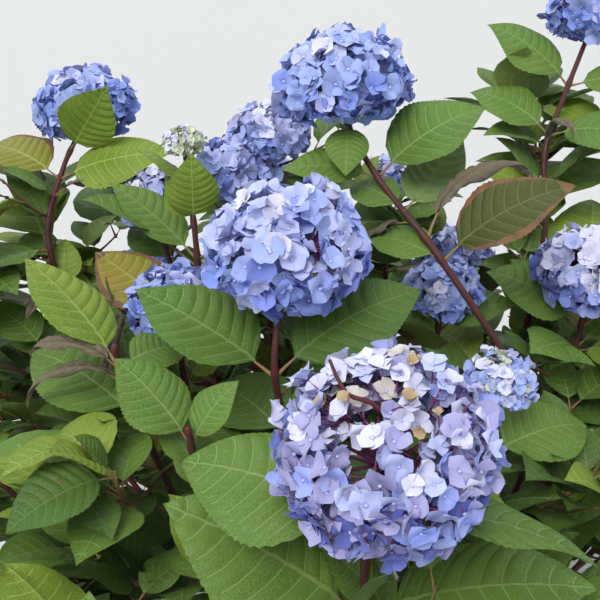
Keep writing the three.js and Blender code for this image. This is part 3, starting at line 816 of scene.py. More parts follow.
def tube(curve, radius, sides, rings):
    """A round limb: at each share of the curve a ring of that radius, square to the curve. radius is an
    array of rings by sides, or anything that spreads to it."""
    share = np.linspace(0, 1, rings)
    middle, way = curve.at(share), curve.way(share)
    plane = np.cross(way[0], way[-1])
    if np.linalg.norm(plane) < 0.05:
        plane = np.cross(way[0], UP if abs(way[0][2]) < 0.9 else (1.0, 0, 0))
    side = unit(plane - way * dot(way, plane)[:, None])
    other = np.cross(way, side)
    angle = round_turns(sides)
    ring = np.cos(angle)[:, None] * side[:, None] + np.sin(angle)[:, None] * other[:, None]
    walls = middle[:, None] + np.broadcast_to(radius, (rings, sides))[..., None] * ring
    return np.vstack([walls.reshape(-1, 3), middle[:1], middle[-1:]]), tube_faces(rings, sides)


def ripple(u, v, key):
    """Uneven relief from -1 to 1: a sum of sine waves of rising frequency with chance phases."""
    total = 0 * u * v
    for k in range(5):
        a, b = 1 + k + chance(key, k, 1), 0.7 + 0.8 * k + chance(key, k, 2)
        total = total + np.sin(a * u + b * v + 6.28 * chance(key, k, 3)) / (1 + 0.5 * k)
    return total / 2.6


# Leaves

def leaf_half(x):
    """Half the width of a blade at a share of its length: x to the 0.78 by 1 - x to the 1.2, widest as 1."""
    widest = 0.78 / (0.78 + 1.2)
    return np.maximum(x, 0)**0.78 * np.maximum(1 - x, 0)**1.2 / (widest**0.78 * (1 - widest)**1.2)


# The blade: where its first and last side veins and its last row leave the midrib, how far the veins climb
# and how that fades towards the foot, how evenly the margin is spaced, the midrib's width, the depth of the
# quilting and the rise of the midrib, and from where to the tip the blade counts as margin
FIRST_VEIN, LAST_VEIN, LAST_ROW = 0.035, 0.88, 0.985
VEIN_CLIMB, FOOT_CALM, FOOT_REACH = 0.3, 0.78, 0.13
MARGIN_EVENING = 0.7
RIB_WIDTH = 0.0100
QUILT_DEPTH, RIB_RISE = 0.015, 0.003
SCORCHED_FROM = 0.86


def leaf_template(veins, panels, columns, teeth, vein_width):
    """A blade as a closed skin of two sheets that meet at the margin. Its rows follow the side veins: a row
    leaves the midrib at v and climbs as across^1.4, most in the middle of the blade and little at its rounded
    foot. Each vein is a narrow pair of rows, sunk on top, and the panels between them are quilted. On the
    margin the rows are evenly spaced, and every other one is a notch between teeth. Returns share, side, lift
    and sheet of each point, then the faces and their slots: blade 0, vein 1, underside 2, margin 3."""
    starts = np.linspace(FIRST_VEIN, LAST_VEIN, veins)**1.06
    gaps = np.append(np.diff(starts), 0.1)
    rows = [(0.0, 0.0, 0)]
    for start, gap in zip(starts, gaps):
        rows += [(start - vein_width, 0.0, 1), (start + vein_width, 0.0, 0)]
        rows += [(start + gap * (k + 1) / (panels + 1), math.sin(math.pi * (k + 1) / (panels + 1)), 0)
                 for k in range(panels)]
    rows = [row for row in rows if row[0] < LAST_ROW]
    v = np.array([row[0] for row in rows])[:, None]
    quilt = np.array([row[1] for row in rows])[:, None]
    across = np.array([0.0, 0.0, *columns, 1.0])[None]
    even = np.linspace(0, LAST_ROW, len(rows))[:, None]
    v = v + np.where(across == 1, MARGIN_EVENING * (even - v), 0)
    rib = RIB_WIDTH * (1 - 0.8 * v) / (LEAF_WIDTH / 2) / np.maximum(leaf_half(v), 0.08)
    across = across + np.where(np.arange(across.shape[1]) == 1, np.minimum(rib, 0.25), 0)
    x = v + VEIN_CLIMB * (1 - v) * (1 - FOOT_CALM * np.exp(-v / FOOT_REACH)) * across**1.4
    tooth = 1 - teeth * (np.arange(len(rows)) % 2)[:, None] * (across == 1)
    height, width = x.shape
    tip = height * width
    lift = QUILT_DEPTH * (quilt - 0.5) * np.sin(math.pi * np.clip(across, 0, 1))**0.6
    lift = lift + RIB_RISE * (across == 0)
    parts = [np.concatenate([a.ravel(), [b]]) for a, b in
             ((x, 1.0), (across * leaf_half(x) * tooth, 0.0), (lift + 0 * x, 0.0))]
    quads, r, c = grid_faces(height, width)
    at_margin = c == width - 2
    is_vein = ((np.array([row[2] for row in rows])[r] == 1) & ~at_margin) | (c == 0)
    half_slot = np.where(is_vein, 1, np.where(at_margin | (x[r, c] > SCORCHED_FROM), 3, 0))
    last = (height - 1) * width + np.arange(width - 1)
    fan = np.stack([last, np.full(width - 1, tip), last + 1, last + 1], axis=1)
    half = np.vstack([quads, fan])
    half_slot = np.concatenate([half_slot, [1] + [3] * (width - 2)])
    return mirror_sheets(*parts, half, half_slot, width, height)


def mirror_sheets(x, side, lift, half, half_slot, width, height):
    """Both halves of a blade, and its underside below them. The halves share the midrib, and the sheets
    share the margin, the foot row and the tip."""
    count = len(x)
    column = np.append(np.tile(np.arange(width), height), -1)
    row = np.append(np.repeat(np.arange(height), width), height)
    on_rib = (column == 0) | (row == height)
    mirrored = np.where(on_rib, np.arange(count), count + np.arange(count))
    top = np.vstack([half, mirrored[turned_over(half)]])
    on_margin = np.tile((column == width - 1) | (row == 0) | (row == height), 2)
    under = np.where(on_margin, np.arange(2 * count), 2 * count + np.arange(2 * count))
    below = under[turned_over(top)]
    below = np.where(np.isin(below, 3 * count + np.arange(count)[on_rib]), below - count, below)
    side = np.concatenate([side, -side])
    slots = np.tile(half_slot, 2)
    slots = np.concatenate([slots, np.where(slots == 1, 1, 2)])
    faces = np.vstack([top, below])
    parts = [np.tile(x, 4), np.tile(side, 2), np.tile(lift, 4), np.repeat([0.0, 1.0], 2 * count)]
    used, faces = np.unique(faces, return_inverse=True)
    return [part[used] for part in parts], faces.reshape(-1, 4), slots


def each(leaves, *names):
    """Some values of leaves, each as an array over the leaves."""
    return [np.array([leaf[name] for leaf in leaves]) for name in names]


def leaf_frame(leaves):
    """The axes of leaves, as arrays over the leaves: along, across after the roll, and out of the face."""
    azimuth, rise, roll = each(leaves, "azimuth", "rise", "roll")
    along, level, out = leaf_axes(azimuth, rise)
    turn = np.radians(roll)[:, None]
    across = level * np.cos(turn) + out * np.sin(turn)
    return along, across, unit(np.cross(along, across))


def midrib(leaves, share, along, out):
    """The midribs' points and normals. A midrib is an arc that starts above its chord by half its bend and
    ends below it by as much, so that the ends are the leaf's root and tip."""
    root, size, arc = (values[:, None] for values in each(leaves, "root", "size", "bend"))
    angle = arc / 2 - arc * share
    reach = size / (2 * np.sin(arc / 2))
    x = reach * (np.sin(arc / 2) - np.sin(angle))
    z = reach * (np.cos(angle) - np.cos(arc / 2))
    middle = root + x[..., None] * along[:, None] + z[..., None] * out[:, None]
    normal = np.cos(angle)[..., None] * out[:, None] - np.sin(angle)[..., None] * along[:, None]
    return middle, normal


# The waves of a margin: how many run along a leaf and how far those of its halves differ. The gap between the
# two sheets of a blade, in millimetres, and how it grows with the leaf's size.
MARGIN_WAVES, HALVES_APART = 2.3, 0.4
SHEET_GAP, SHEET_GAP_GROWTH = 0.45, 0.002


def grow_leaves(leaves, template):
    """The points of many leaves: over each midrib the halves rise at the fold angle and bend back by the
    curl, the margin waves, and the sheets lie a little apart."""
    (x, side, lift, sheet), _, _ = template
    along, across, out = leaf_frame(leaves)
    share = (STALK_SHARE + (1 - STALK_SHARE) * x)[None]
    middle, normal = midrib(leaves, share, along, out)
    habit = each(leaves, "size", "fold", "curl", "wave", "phase", "wide")
    size, fold, curl, wave, phase, wide = (values[:, None] for values in habit)
    half = size * wide / 2
    t = np.abs(side)[None]
    aside = half / curl * (np.sin(fold) - np.sin(fold - curl * t)) * np.sign(side)
    rise = half / curl * (np.cos(fold - curl * t) - np.cos(fold))
    waves = np.sin(2 * math.pi * (MARGIN_WAVES * share + phase * (1 + HALVES_APART * np.sign(side))))
    rise = rise + size * wave * waves * t**2
    rise = rise + size * lift[None] - sheet[None] * (SHEET_GAP + size * SHEET_GAP_GROWTH)
    return middle + aside[..., None] * across[:, None] + rise[..., None] * normal


# A stalk's thickness at some shares of the leaf's length, and how far under the midrib it lies, as shares too
STALK_THICKNESS = [[0, 0.04, STALK_SHARE + 0.05], [0.0195, 0.0125, 0.006]]
STALK_DROP = 0.012


def grow_stalks(leaves, sides=5, rings=5):
    """The leaf stalks: tubes along the first part of the midribs, thick at the stem, below the blade."""
    along, across, out = leaf_frame(leaves)
    share = np.linspace(-0.012, STALK_SHARE + 0.05, rings)
    middle, normal = midrib(leaves, share[None], along, out)
    size = each(leaves, "size")[0][:, None, None, None]
    thick = np.interp(share, *STALK_THICKNESS)[None, :, None, None]
    angle = round_turns(sides)[None, None, :, None]
    ring = np.cos(angle) * across[:, None, None] + np.sin(angle) * normal[:, :, None]
    walls = middle[:, :, None] + size * thick * ring - STALK_DROP * size * out[:, None, None]
    count = len(leaves)
    poles = middle[:, [0, -1]] - STALK_DROP * size[:, :, 0] * out[:, None]
    return np.concatenate([walls.reshape(count, -1, 3), poles], axis=1), tube_faces(rings, sides)


# Florets

def sepal_template(rows, columns):
    """A sepal of unit length as a closed skin: share a along it, half width 0.56 sin(pi a^1.2)^0.8, so that
    it starts narrow and comes to a blunt point. Returns along, across and sheet of each point, then the
    faces and their slots: the throat, next to the middle of the floret, is slot 1, which is painted darker,
    partly as the sepals' deeper base and partly as painted shade in the floret's cup."""
    a = np.linspace(0, 1, rows + 2)[1:-1][:, None]
    b = np.linspace(-1, 1, columns + 1)[None]
    half = 0.56 * np.sin(math.pi * a**1.2)**0.8
    x = a - 0.05 * b**2 * a
    y = b * half
    width = columns + 1
    quads, r, _ = grid_faces(rows, width)
    foot, tip = rows * width, rows * width + 1
    first, last = np.arange(columns), (rows - 1) * width + np.arange(columns)
    foot_fan = np.stack([np.full(columns, foot), first, first + 1, first + 1], axis=1)
    tip_fan = np.stack([last, np.full(columns, tip), last + 1, last + 1], axis=1)
    top = np.vstack([quads, foot_fan, tip_fan])
    edge = np.concatenate([np.tile(np.abs(b[0]) == 1, rows), [True, True]])
    count = rows * width + 2
    under = np.where(edge, np.arange(count), count + np.arange(count))
    slots = np.tile(np.concatenate([0 * r, np.ones(columns, int), np.zeros(columns, int)]), 2)
    faces = np.vstack([top, under[turned_over(top)]])
    used, faces = np.unique(faces, return_inverse=True)
    x, y = np.append(x, [0, 1]), np.append(y, [0, 0])
    sheet = np.repeat([0.0, 1.0], count)
    return (np.tile(x, 2)[used], np.tile(y, 2)[used], sheet[used]), faces.reshape(-1, 4), slots


# Of sepals: how far their lengths differ, their bow across, the waves of their edges, how much a cup draws
# them in, and in millimetres the gap between their sheets and between a floret's two pairs
SEPAL_UNEVEN, SEPAL_BOW, SEPAL_WAVE, CUP_CLOSING = 0.14, 0.5, 0.10, 0.22
SEPAL_SHEET_GAP, SEPAL_PAIR_GAP = 0.25, 0.6


def grow_florets(florets, template):
    """The points of many florets: four sepals at right angles that rise by cup a less turn a^4, bowed
    across by b^2, tilted by b and waved by their edges, the second pair a little under the first."""
    (a, b, sheet), _, _ = template
    at, normal, spin, size, cup, turn, tilt = florets
    side = unit(np.cross(normal, np.where(np.abs(normal[:, 2:]) < 0.9, UP, np.array([1.0, 0, 0]))))
    other = np.cross(normal, side)
    angle = spin[:, None] + np.arange(4) * math.pi / 2
    along = np.cos(angle)[..., None] * side[:, None] + np.sin(angle)[..., None] * other[:, None]
    across = np.cross(normal[:, None], along)
    length = (size[:, None] / 2 * (1 + SEPAL_UNEVEN * np.sin(5 * angle)))[..., None]
    waved = SEPAL_WAVE * np.sin(4.2 * a + 3 * angle[..., None]) * b
    height = length * (cup * a - turn * a**4 + SEPAL_BOW * b**2 + tilt * b + waved) - SEPAL_SHEET_GAP * sheet
    height = height - (np.arange(4) % 2)[None, :, None] * SEPAL_PAIR_GAP
    closing = 1 - CUP_CLOSING * np.minimum(cup, 1)
    return (at[:, None, None] + (length * closing * a)[..., None] * along[:, :, None]
            + (length * b)[..., None] * across[:, :, None] + height[..., None] * normal[:, None, None])


def bead_template():
    """A bead: a six-sided barrel with a point at each end. Returns points and faces."""
    angle = np.arange(6) * math.pi / 3
    belt = np.stack([np.cos(angle), np.sin(angle), 0 * angle], axis=1)
    points = np.vstack([belt * (0.8, 0.8, 1) - 0.45 * UP, belt + 0.25 * UP, [-0.9 * UP, 0.95 * UP]])
    return points, tube_faces(2, 6)


# How far chance moves a floret's place on the ball, how far at most, and the lumps of a head
PLACE_SCATTER, MOST_SCATTER, HEAD_LUMPS = 0.05, 0.1, 0.05


def dome(head, count, depth, lowest, rng):
    """Places and normals of florets on a head, and where they are on its round ball: points spread by the
    golden angle over a sphere down to a lowest height, pressed to the head's shape, with a hollow round the
    top of an old head."""
    k = np.arange(count) + 0.5
    height = 1 - (1 - lowest) * k / count
    turn = GOLDEN * np.arange(count) + 6.28 * rng.random()
    reach = np.sqrt(1 - height**2)
    ball = np.stack([reach * np.cos(turn), reach * np.sin(turn), height], axis=1)
    ball = unit(ball + np.clip(rng.normal(0, PLACE_SCATTER, ball.shape), -MOST_SCATTER, MOST_SCATTER))
    press = np.where(ball[:, 2] < 0, HEAD_HEIGHT * HEAD_UNDERSIDE, HEAD_HEIGHT)
    squash = np.stack([0 * press + 1, 0 * press + 1, press], axis=1)
    dip = head["hollow"] * np.exp(-(1 - ball[:, 2]) * HOLLOW_STEEPNESS)
    lump = 1 + HEAD_LUMPS * ripple(3 * ball[:, 0] + head["at"][0], 3 * ball[:, 1] + 2 * ball[:, 2], 7)
    flat = ball * squash * (head["width"] / 2 * depth * lump - head["width"] / 2 * dip)[:, None]
    normal = unit(ball / squash)
    side = unit(np.cross(head["up"], np.array([0.31, 0.95, 0.0])))
    axes = np.stack([side, np.cross(head["up"], side), head["up"]])
    return head["at"] + flat @ axes, normal @ axes, ball


# The florets' tints, and how many parts of each a head deals out at its top, its middle and its foot. The
# paler top mixes and deeper foot mixes are partly the heads' own colour and partly painted light on top and
# painted shade underneath; the deep tint, dealt only at the foot, is a darker copy of blue as painted shade.
TINTS = {
    "white": (0.70, 0.70, 0.90), "pale": (0.52, 0.57, 0.89), "clear": (0.34, 0.41, 0.81),
    "blue": (0.22, 0.28, 0.69), "deep": (0.15, 0.18, 0.55), "lilac": (0.40, 0.39, 0.67),
    "cream": (0.66, 0.60, 0.58), "green": (0.64, 0.70, 0.50), "tan": (0.52, 0.39, 0.24),
    "sky": (0.37, 0.46, 0.84), "azure": (0.24, 0.33, 0.77),
}
TAN = list(TINTS).index("tan")
MIXES = {
    "old": [dict(white=12, pale=2, lilac=1, cream=3), dict(white=4, pale=5, clear=2, lilac=4),
            dict(clear=4, blue=1, deep=2, lilac=6)],
    "full": [dict(white=3, pale=7, sky=3, clear=2), dict(pale=5, clear=4, sky=3, blue=1),
             dict(clear=4, azure=2, blue=3, deep=1)],
    "blue": [dict(pale=4, sky=7, clear=1, white=1), dict(sky=7, azure=3, pale=2),
             dict(sky=2, azure=6, blue=2)],
    "two": [dict(white=8, pale=4), dict(white=4, pale=5, sky=3), dict(clear=4, blue=3, deep=1)],
    "aged": [dict(white=6, lilac=2, cream=1, pale=5), dict(pale=6, lilac=2, sky=4), dict(clear=4, blue=2)],
    "young": [dict(green=2, white=6, sky=3), dict(white=3, pale=4, sky=5), dict(sky=4, clear=3)],
    "bud": [dict(green=4, white=6), dict(green=5, white=5), dict(green=1)],
}
HEAD_MIX = {"front": "old", "centre": "full", "top": "blue", "left": "blue", "right": "two", "tall": "blue",
            "behind": "blue", "young": "young", "left_middle": "blue", "pale": "bud", "pair": "aged"}
SECOND_MIX = "full"
RING_MIXES = ["full", "blue", "old", "two", "blue", "aged", "full"]


def deal_tints(mixes, heights, rng):
    """The tint of each floret, dealt by chance from the mix for its height on the head, where the borders
    between the mixes are blurred. The mixes run paler up high and deeper low down, partly as painted light
    and painted shade."""
    names = list(TINTS)
    out = np.zeros(len(heights), dtype=int)
    wobble = heights + rng.normal(0, 0.16, len(heights))
    for level, mix in enumerate(mixes):
        here = np.nonzero(np.where(wobble > 0.5, 0, np.where(wobble > 0.05, 1, 2)) == level)[0]
        share = np.array([mix.get(name, 0) for name in names], dtype=float)
        out[here] = rng.choice(len(names), len(here), p=share / share.sum())
    return out


# The layers of florets: their share of the outer layer's number, how deep they lie as a share of the head's
# half width, and how far down they reach. Only an old head has the last one, inside its hollow.
FLORET_LAYERS = [(1, 0.86, -0.7), (0.55, 0.72, -0.5), (0.25, 0.5, -0.3)]

# A floret's size by the head's width, kept between two sizes, and its share in young and in old heads; how
# much the florets of the outer layer cover, and their spacing as a share of their size
FLORET_BASE, FLORET_PER_WIDTH, FLORET_SIZES = 19, 0.066, (20, 33)
FLORET_SHARE = {"bud": 0.55, "young": 0.75}
OLD_SHARE, WITHERED_SHARE = 0.9, 0.6
COVERED, SPACING = 1.05, 0.56

# The hollow of an old head: from which height on the ball, how steep, and which shares of the florets of the
# outer layer and of the inner ones are left in it
HOLLOW_EDGE, HOLLOW_STEEPNESS = 0.74, 7
LEFT_IN_HOLLOW = (0.14, 0.5)

# How far chance tilts and sets out a floret, how much it changes its size, and its bead's size by its own
TILT_SCATTER, DEPTH_SCATTER = 0.38, 0.02
SIZE_SPAN = (0.78, 1.22)
BEAD_SHARE = 0.062

# How far a floret cups: the two exponents of the beta distribution, its reach and its least value, the cup of
# a withered one, how far its sepals differ, how far their tips turn back and their edges tilt
CUP_BETA, CUP_REACH, LEAST_CUP, WITHERED_CUP = (1.6, 2.6), 1.1, 0.05, 1.3
CUP_SCATTER, MOST_TURN, SEPAL_TILT = 0.09, 0.45, 0.24


def thin_hollow(ball, tints, count, rng):
    """Which florets of an old head are kept, and its tints: in the hollow few are left, the outer ones of
    them withered, and a few round its rim are withered as well."""
    in_hollow = ball[:, 2] > HOLLOW_EDGE + 0.06 * np.sin(3 * np.arctan2(ball[:, 1], ball[:, 0]))
    is_outer = np.arange(len(ball)) < count
    kept = ~in_hollow | (rng.random(len(ball)) < np.where(is_outer, *LEFT_IN_HOLLOW))
    withered = (in_hollow & is_outer) | ((ball[:, 2] > 0.6) & (rng.random(len(ball)) < 0.09))
    return kept, np.where(withered, TAN, tints)


def grow_head(head, mix, heaps, sepal, rng):
    """One flower head: layers of florets that face outwards with some scatter, a bead in each, and their
    pedicels. On the far side of an old head's hollow the florets turn up to the head's axis, and its florets
    are smaller round the hollow."""
    width = head["width"]
    is_old = head["hollow"] > 0
    size = np.clip(FLORET_BASE + FLORET_PER_WIDTH * width, *FLORET_SIZES)
    size = size * (OLD_SHARE if is_old else 1) * FLORET_SHARE.get(mix, 1)
    cover = 2 * math.pi * (width / 2)**2 * COVERED
    count = int(cover / (size * SPACING)**2)
    layers = [dome(head, int(share * count), depth, lowest, rng)
              for share, depth, lowest in FLORET_LAYERS[:3 if is_old else 2]]
    at, normal, ball = (np.vstack([layer[k] for layer in layers]) for k in range(3))
    # The height that picks the mix: on an old head the near side counts lower and the far side higher, so its
    # near foot gets more of the deeper mix and its far rim more of the paler one, partly as painted shade and
    # painted light
    heights = 0.75 * ball[:, 2] + 0.4 * unit(at - head["at"])[:, 1] if is_old else ball[:, 2]
    tints = deal_tints(MIXES[mix], heights, rng)
    if is_old:
        kept, tints = thin_hollow(ball, tints, count, rng)
        at, normal, ball, tints = at[kept], normal[kept], ball[kept], tints[kept]
    amount = len(at)
    is_tan = tints == TAN
    at = at + normal * width * DEPTH_SCATTER * np.clip(rng.normal(0, 1, (amount, 1)), -1.6, 1.6)
    lifted = 0
    if is_old:
        far_side = np.clip(0.6 + unit(at - head["at"])[:, 1], 0, 1)
        lifted = (np.interp(ball[:, 2], [0.25, 0.7], [0, 1.1]) * far_side)[:, None] * head["up"]
    facing = unit(normal + lifted + rng.normal(0, TILT_SCATTER, (amount, 3)))
    sizes = size * rng.uniform(*SIZE_SPAN, amount) * np.where(is_tan, WITHERED_SHARE, 1)
    if is_old:
        sizes = sizes * np.interp(ball[:, 2], [-0.3, 0.7], [1.15, 0.85])
    cup = np.where(is_tan, WITHERED_CUP, rng.beta(*CUP_BETA, amount) * CUP_REACH + LEAST_CUP)[:, None, None]
    florets = [at, facing, rng.uniform(0, 6.28, amount), sizes,
               cup + rng.normal(0, CUP_SCATTER, (amount, 4, 1)),
               rng.uniform(0.0, MOST_TURN, (amount, 4, 1)), rng.normal(0, SEPAL_TILT, (amount, 4, 1))]
    points = grow_florets(florets, sepal)
    for k, name in enumerate(TINTS):
        chosen = points[tints == k]
        heaps[name].add(chosen.reshape(-1, points.shape[2], 3), sepal[1], sepal[2])
    bead, bead_faces = bead_template()
    beads = (at + facing * 0.6)[:, None] + bead[None] * (sizes * BEAD_SHARE)[:, None, None]
    heaps["bead"].add(beads, bead_faces)
    grow_pedicels(head, at - facing * 1.2, heaps["pedicel"], rng)


# About how many rays carry the pedicels of one head, how far they reach towards the florets, their thickness,
# and the bow and the thickness of a pedicel
RAYS, RAY_REACH, RAY_THICKNESS = 22, 0.6, (2.2, 1.2)
PEDICEL_BOW, PEDICEL_THICKNESS = 3, (0.9, 0.75, 0.7)


def grow_pedicels(head, ends, heap, rng):
    """Rays fan out from the end of the stem towards some of the florets, and each floret's pedicel,
    three-sided and a little bent, leaves the nearest ray's end."""
    base = head["at"] - head["up"] * head["width"] * (HEAD_SEAT + 0.02)
    centre = head["at"] + head["up"] * head["width"] * 0.02
    ray_ends = centre + (ends[::max(len(ends) // RAYS, 1)] - centre) * RAY_REACH
    for end in ray_ends:
        curve = bend(base, base + (end - base) * (0.4, 0.4, 0.2), end - (end - centre) * 0.3, end)
        heap.add(*tube(curve, np.linspace(*RAY_THICKNESS, 5)[:, None], 5, 5))
    nearest = ray_ends[np.argmin(np.linalg.norm(ends[:, None] - ray_ends[None], axis=-1), axis=1)]
    way = unit(ends - nearest)
    side = unit(np.cross(way, rng.normal(0, 1, way.shape)))
    angle = np.arange(3) * 2 * math.pi / 3
    ring = np.cos(angle)[:, None] * side[:, None] + np.sin(angle)[:, None] * np.cross(way, side)[:, None]
    middle = (nearest + ends) / 2 + side * PEDICEL_BOW
    rings = [at[:, None] + ring * thick for at, thick in zip((nearest, middle, ends), PEDICEL_THICKNESS)]
    points = np.concatenate([*rings, nearest[:, None], ends[:, None]], axis=1)
    heap.add(points, tube_faces(3, 3))


# Stems, canes and stool

# The swelling at a node and the ribs of a stem as shares of its thickness; then the same of a cane's ridges,
# of the plates of its bark and of the scars, the gap between scars, and how much a cane's foot widens over
# which length
SWELLING, RIBS = 0.32, 0.05
RIDGES, PLATES, SCAR, SCAR_GAP = 0.11, 0.12, 0.18, 74
FLARE, FLARE_LENGTH = 3, 14


def grow_stem(limb, nodes, key):
    """A stem with a swelling at every pair of leaves and faint ribs."""
    curve = limb["curve"]
    fine = limb["key"] >= FINE
    rings = max(6, int(curve.length / (12 if fine else 6)))
    sides = 6 if fine else 9
    share = np.linspace(0, 1, rings)[:, None]
    angle = round_turns(sides)[None]
    radius = limb["foot"] + (limb["tip"] - limb["foot"]) * share
    swelling = sum((np.exp(-((share - at) * curve.length / 6)**2) for at in nodes), 0 * share)
    ribs = ripple(3 * angle, share * curve.length / 16, key)
    radius = radius * (1 + SWELLING * np.minimum(swelling, 1) + RIBS * ribs)
    return tube(curve, radius, sides, rings)


def grow_cane(shoot):
    """A cane in bark: its rings carry long ridges that come and go, scars of old leaf pairs, and a foot that
    widens into the stool."""
    curve = shoot["cane"]
    rings, sides = max(10, int(curve.length / 7)), 22
    share = np.linspace(0, 1, rings)[:, None]
    angle = round_turns(sides)[None]
    along = share * curve.length
    radius = CANE_FOOT + (CANE_TIP - CANE_FOOT) * share + FLARE * np.exp(-along / FLARE_LENGTH)
    ridge = RIDGES * ripple(4 * angle + 0.01 * along, along / 30, 500 + shoot["index"])
    wander = ripple(angle, along / 24, 600 + shoot["index"])
    ridge = ridge + PLATES * (np.abs(np.sin(4.5 * angle + wander))**0.6 - 0.6)
    scar = SCAR * np.exp(-((along % SCAR_GAP - SCAR_GAP / 2) / 4)**2)
    return tube(curve, radius * (1 + ridge + scar), sides, rings)


# The stool's rows and columns of points, and its relief: plates of bark, their grain, the swellings of its
# side and those of its top
STOOL_ROWS, STOOL_COLUMNS = 46, 112
STOOL_PLATES, STOOL_GRAIN, STOOL_SWELLS, STOOL_TOP = 4.2, 1.8, 2, 1.4


def stool_surface():
    """The stool: its profile turned round the axis, with the lumps of the solid and bark in upright plates
    on its side."""
    turn = round_turns(STOOL_COLUMNS)[None]
    corners = np.array(STOOL_PROFILE, dtype=float)
    far = np.concatenate([[0], np.cumsum(np.linalg.norm(np.diff(corners, axis=0), axis=1))])
    step = np.linspace(far[1] * 0.08, far[-1] * 0.985, STOOL_ROWS)
    radius, height = (np.interp(step, far, corners[:, k])[:, None] for k in (0, 1))
    lumps = np.array([1 + spread(STOOL_LUMPS, 400, k) for k in range(STOOL_SIDES)])
    sector = (turn / (2 * math.pi) * STOOL_SIDES) % STOOL_SIDES
    low = sector.astype(int) % STOOL_SIDES
    lump = lumps[low] + (lumps[(low + 1) % STOOL_SIDES] - lumps[low]) * (sector - sector.astype(int))
    on_side = np.clip(height / 12, 0, 1)
    plates = np.abs(np.sin(9 * turn + 2.2 * ripple(2 * turn, height / 18, 31)))**0.6 - 0.6
    grain = STOOL_PLATES * plates + STOOL_GRAIN * ripple(14 * turn, height / 5, 33)
    grain = grain + STOOL_SWELLS * ripple(3 * turn, height / 20, 35)
    reach = radius * lump - 2.5 * on_side + grain * on_side * np.clip(radius / 40, 0.2, 1)
    rise = height + STOOL_TOP * ripple(5 * turn, radius / 12, 37) * on_side * (height > 60)
    walls = np.stack([reach * np.cos(turn), reach * np.sin(turn), rise + 0 * turn], axis=-1)
    poles = np.array([[0, 0, 0], [0, 0, walls[-1, :, 2].mean() + 1]])
    return np.vstack([walls.reshape(-1, 3), poles]), tube_faces(STOOL_ROWS, STOOL_COLUMNS)


# Materials

# The flecks and the net of fine veins on a blade, the depth of every relief, and the shine
FLECK = (0.10, 0.06, 0.03)
FLECK_SCALE, NET_SCALE = 75, 280
NET_WIDTH, NET_SHARE = 0.09, 0.28
RELIEF_DEPTH = 0.001
SHINE = 0.22


def finish_of(name, colour, other, roughness, scale, bump, grain, soft=0.0, net_colour=None, upright=1):
    """A painted-through finish: two close colours mixed by noise on object coordinates, roughness that varies
    with another noise, and a fine bump. A blade gets flecks where a finer noise is highest, and a net of fine
    veins. The noises of bark are drawn out upright."""
    material = bpy.data.materials.new(name)
    material.use_nodes = True
    material.diffuse_color = (*colour, 1)
    nodes, links = material.node_tree.nodes, material.node_tree.links
    shader = nodes["Principled BSDF"]
    place = nodes.new("ShaderNodeTexCoord").outputs["Object"]

    def made(kind, **values):
        """A node with some inputs set. In their names an underscore stands for a space."""
        node = nodes.new(kind)
        for name, value in values.items():
            node.inputs[name.replace("_", " ")].default_value = value
        return node

    if upright != 1:
        drawn_out = made("ShaderNodeMapping", Scale=(1, 1, 1 / upright))
        links.new(place, drawn_out.inputs["Vector"])
        place = drawn_out.outputs["Vector"]

    def noise(size, detail):
        node = made("ShaderNodeTexNoise", Scale=size, Detail=detail)
        links.new(place, node.inputs["Vector"])
        return node.outputs["Fac"]

    def blend(source, low, high):
        """A mix of two colours whose share rises from 0 to 1 as the source goes from low to high."""
        node = nodes.new("ShaderNodeMix")
        node.data_type = "RGBA"
        ramp = made("ShaderNodeMapRange", From_Min=low, From_Max=high)
        links.new(source, ramp.inputs["Value"])
        links.new(ramp.outputs["Result"], node.inputs["Factor"])
        return node

    paint = blend(noise(scale, 4), 0.36, 0.64)
    paint.inputs["A"].default_value = (*colour, 1)
    paint.inputs["B"].default_value = (*other, 1)
    height = noise(grain, 3)
    if net_colour:
        spots = blend(noise(FLECK_SCALE, 3), 0.72, 0.76)
        spots.inputs["B"].default_value = (*FLECK, 1)
        links.new(paint.outputs["Result"], spots.inputs["A"])
        net = made("ShaderNodeTexVoronoi", Scale=NET_SCALE)
        net.feature = "DISTANCE_TO_EDGE"
        links.new(place, net.inputs["Vector"])
        paint = blend(net.outputs["Distance"], NET_WIDTH, 0.0)
        net_paint = [(1 - NET_SHARE) * a + NET_SHARE * b for a, b in zip(other, net_colour)]
        paint.inputs["B"].default_value = (*net_paint, 1)
        links.new(spots.outputs["Result"], paint.inputs["A"])
        height = net.outputs["Distance"]
    links.new(paint.outputs["Result"], shader.inputs["Base Color"])
    rough = made("ShaderNodeMapRange", To_Min=roughness - 0.08, To_Max=min(roughness + 0.1, 1))
    links.new(noise(scale * 2.3, 2), rough.inputs["Value"])
    links.new(rough.outputs["Result"], shader.inputs["Roughness"])
    relief = made("ShaderNodeBump", Strength=bump, Distance=RELIEF_DEPTH)
    links.new(height, relief.inputs["Height"])
    links.new(relief.outputs["Normal"], shader.inputs["Normal"])
    shader.inputs["Sheen Weight"].default_value = soft
    shader.inputs["Specular IOR Level"].default_value = SHINE
    return material


# Each plain finish: two colours, roughness, scale of its patches, strength of its relief, scale of its grain
FINISHES = {
    "leaf_stalk": ((0.24, 0.22, 0.09), (0.30, 0.12, 0.08), 0.5, 14, 0.2, 600),
    "scorch": ((0.22, 0.10, 0.05), (0.13, 0.08, 0.045), 0.6, 60, 0.4, 700),
    "stem_red_brown": ((0.105, 0.024, 0.030), (0.060, 0.034, 0.024), 0.42, 18, 0.35, 500),
    "twig_green_red": ((0.17, 0.16, 0.06), (0.20, 0.07, 0.05), 0.52, 22, 0.3, 600),
    "bead": ((0.42, 0.48, 0.80), (0.62, 0.64, 0.82), 0.5, 60, 0.2, 900),
    "pedicel": ((0.28, 0.08, 0.25), (0.22, 0.07, 0.12), 0.5, 40, 0.2, 900),
    "bark": ((0.120, 0.080, 0.050), (0.300, 0.235, 0.170), 0.85, 110, 1.0, 420),
}
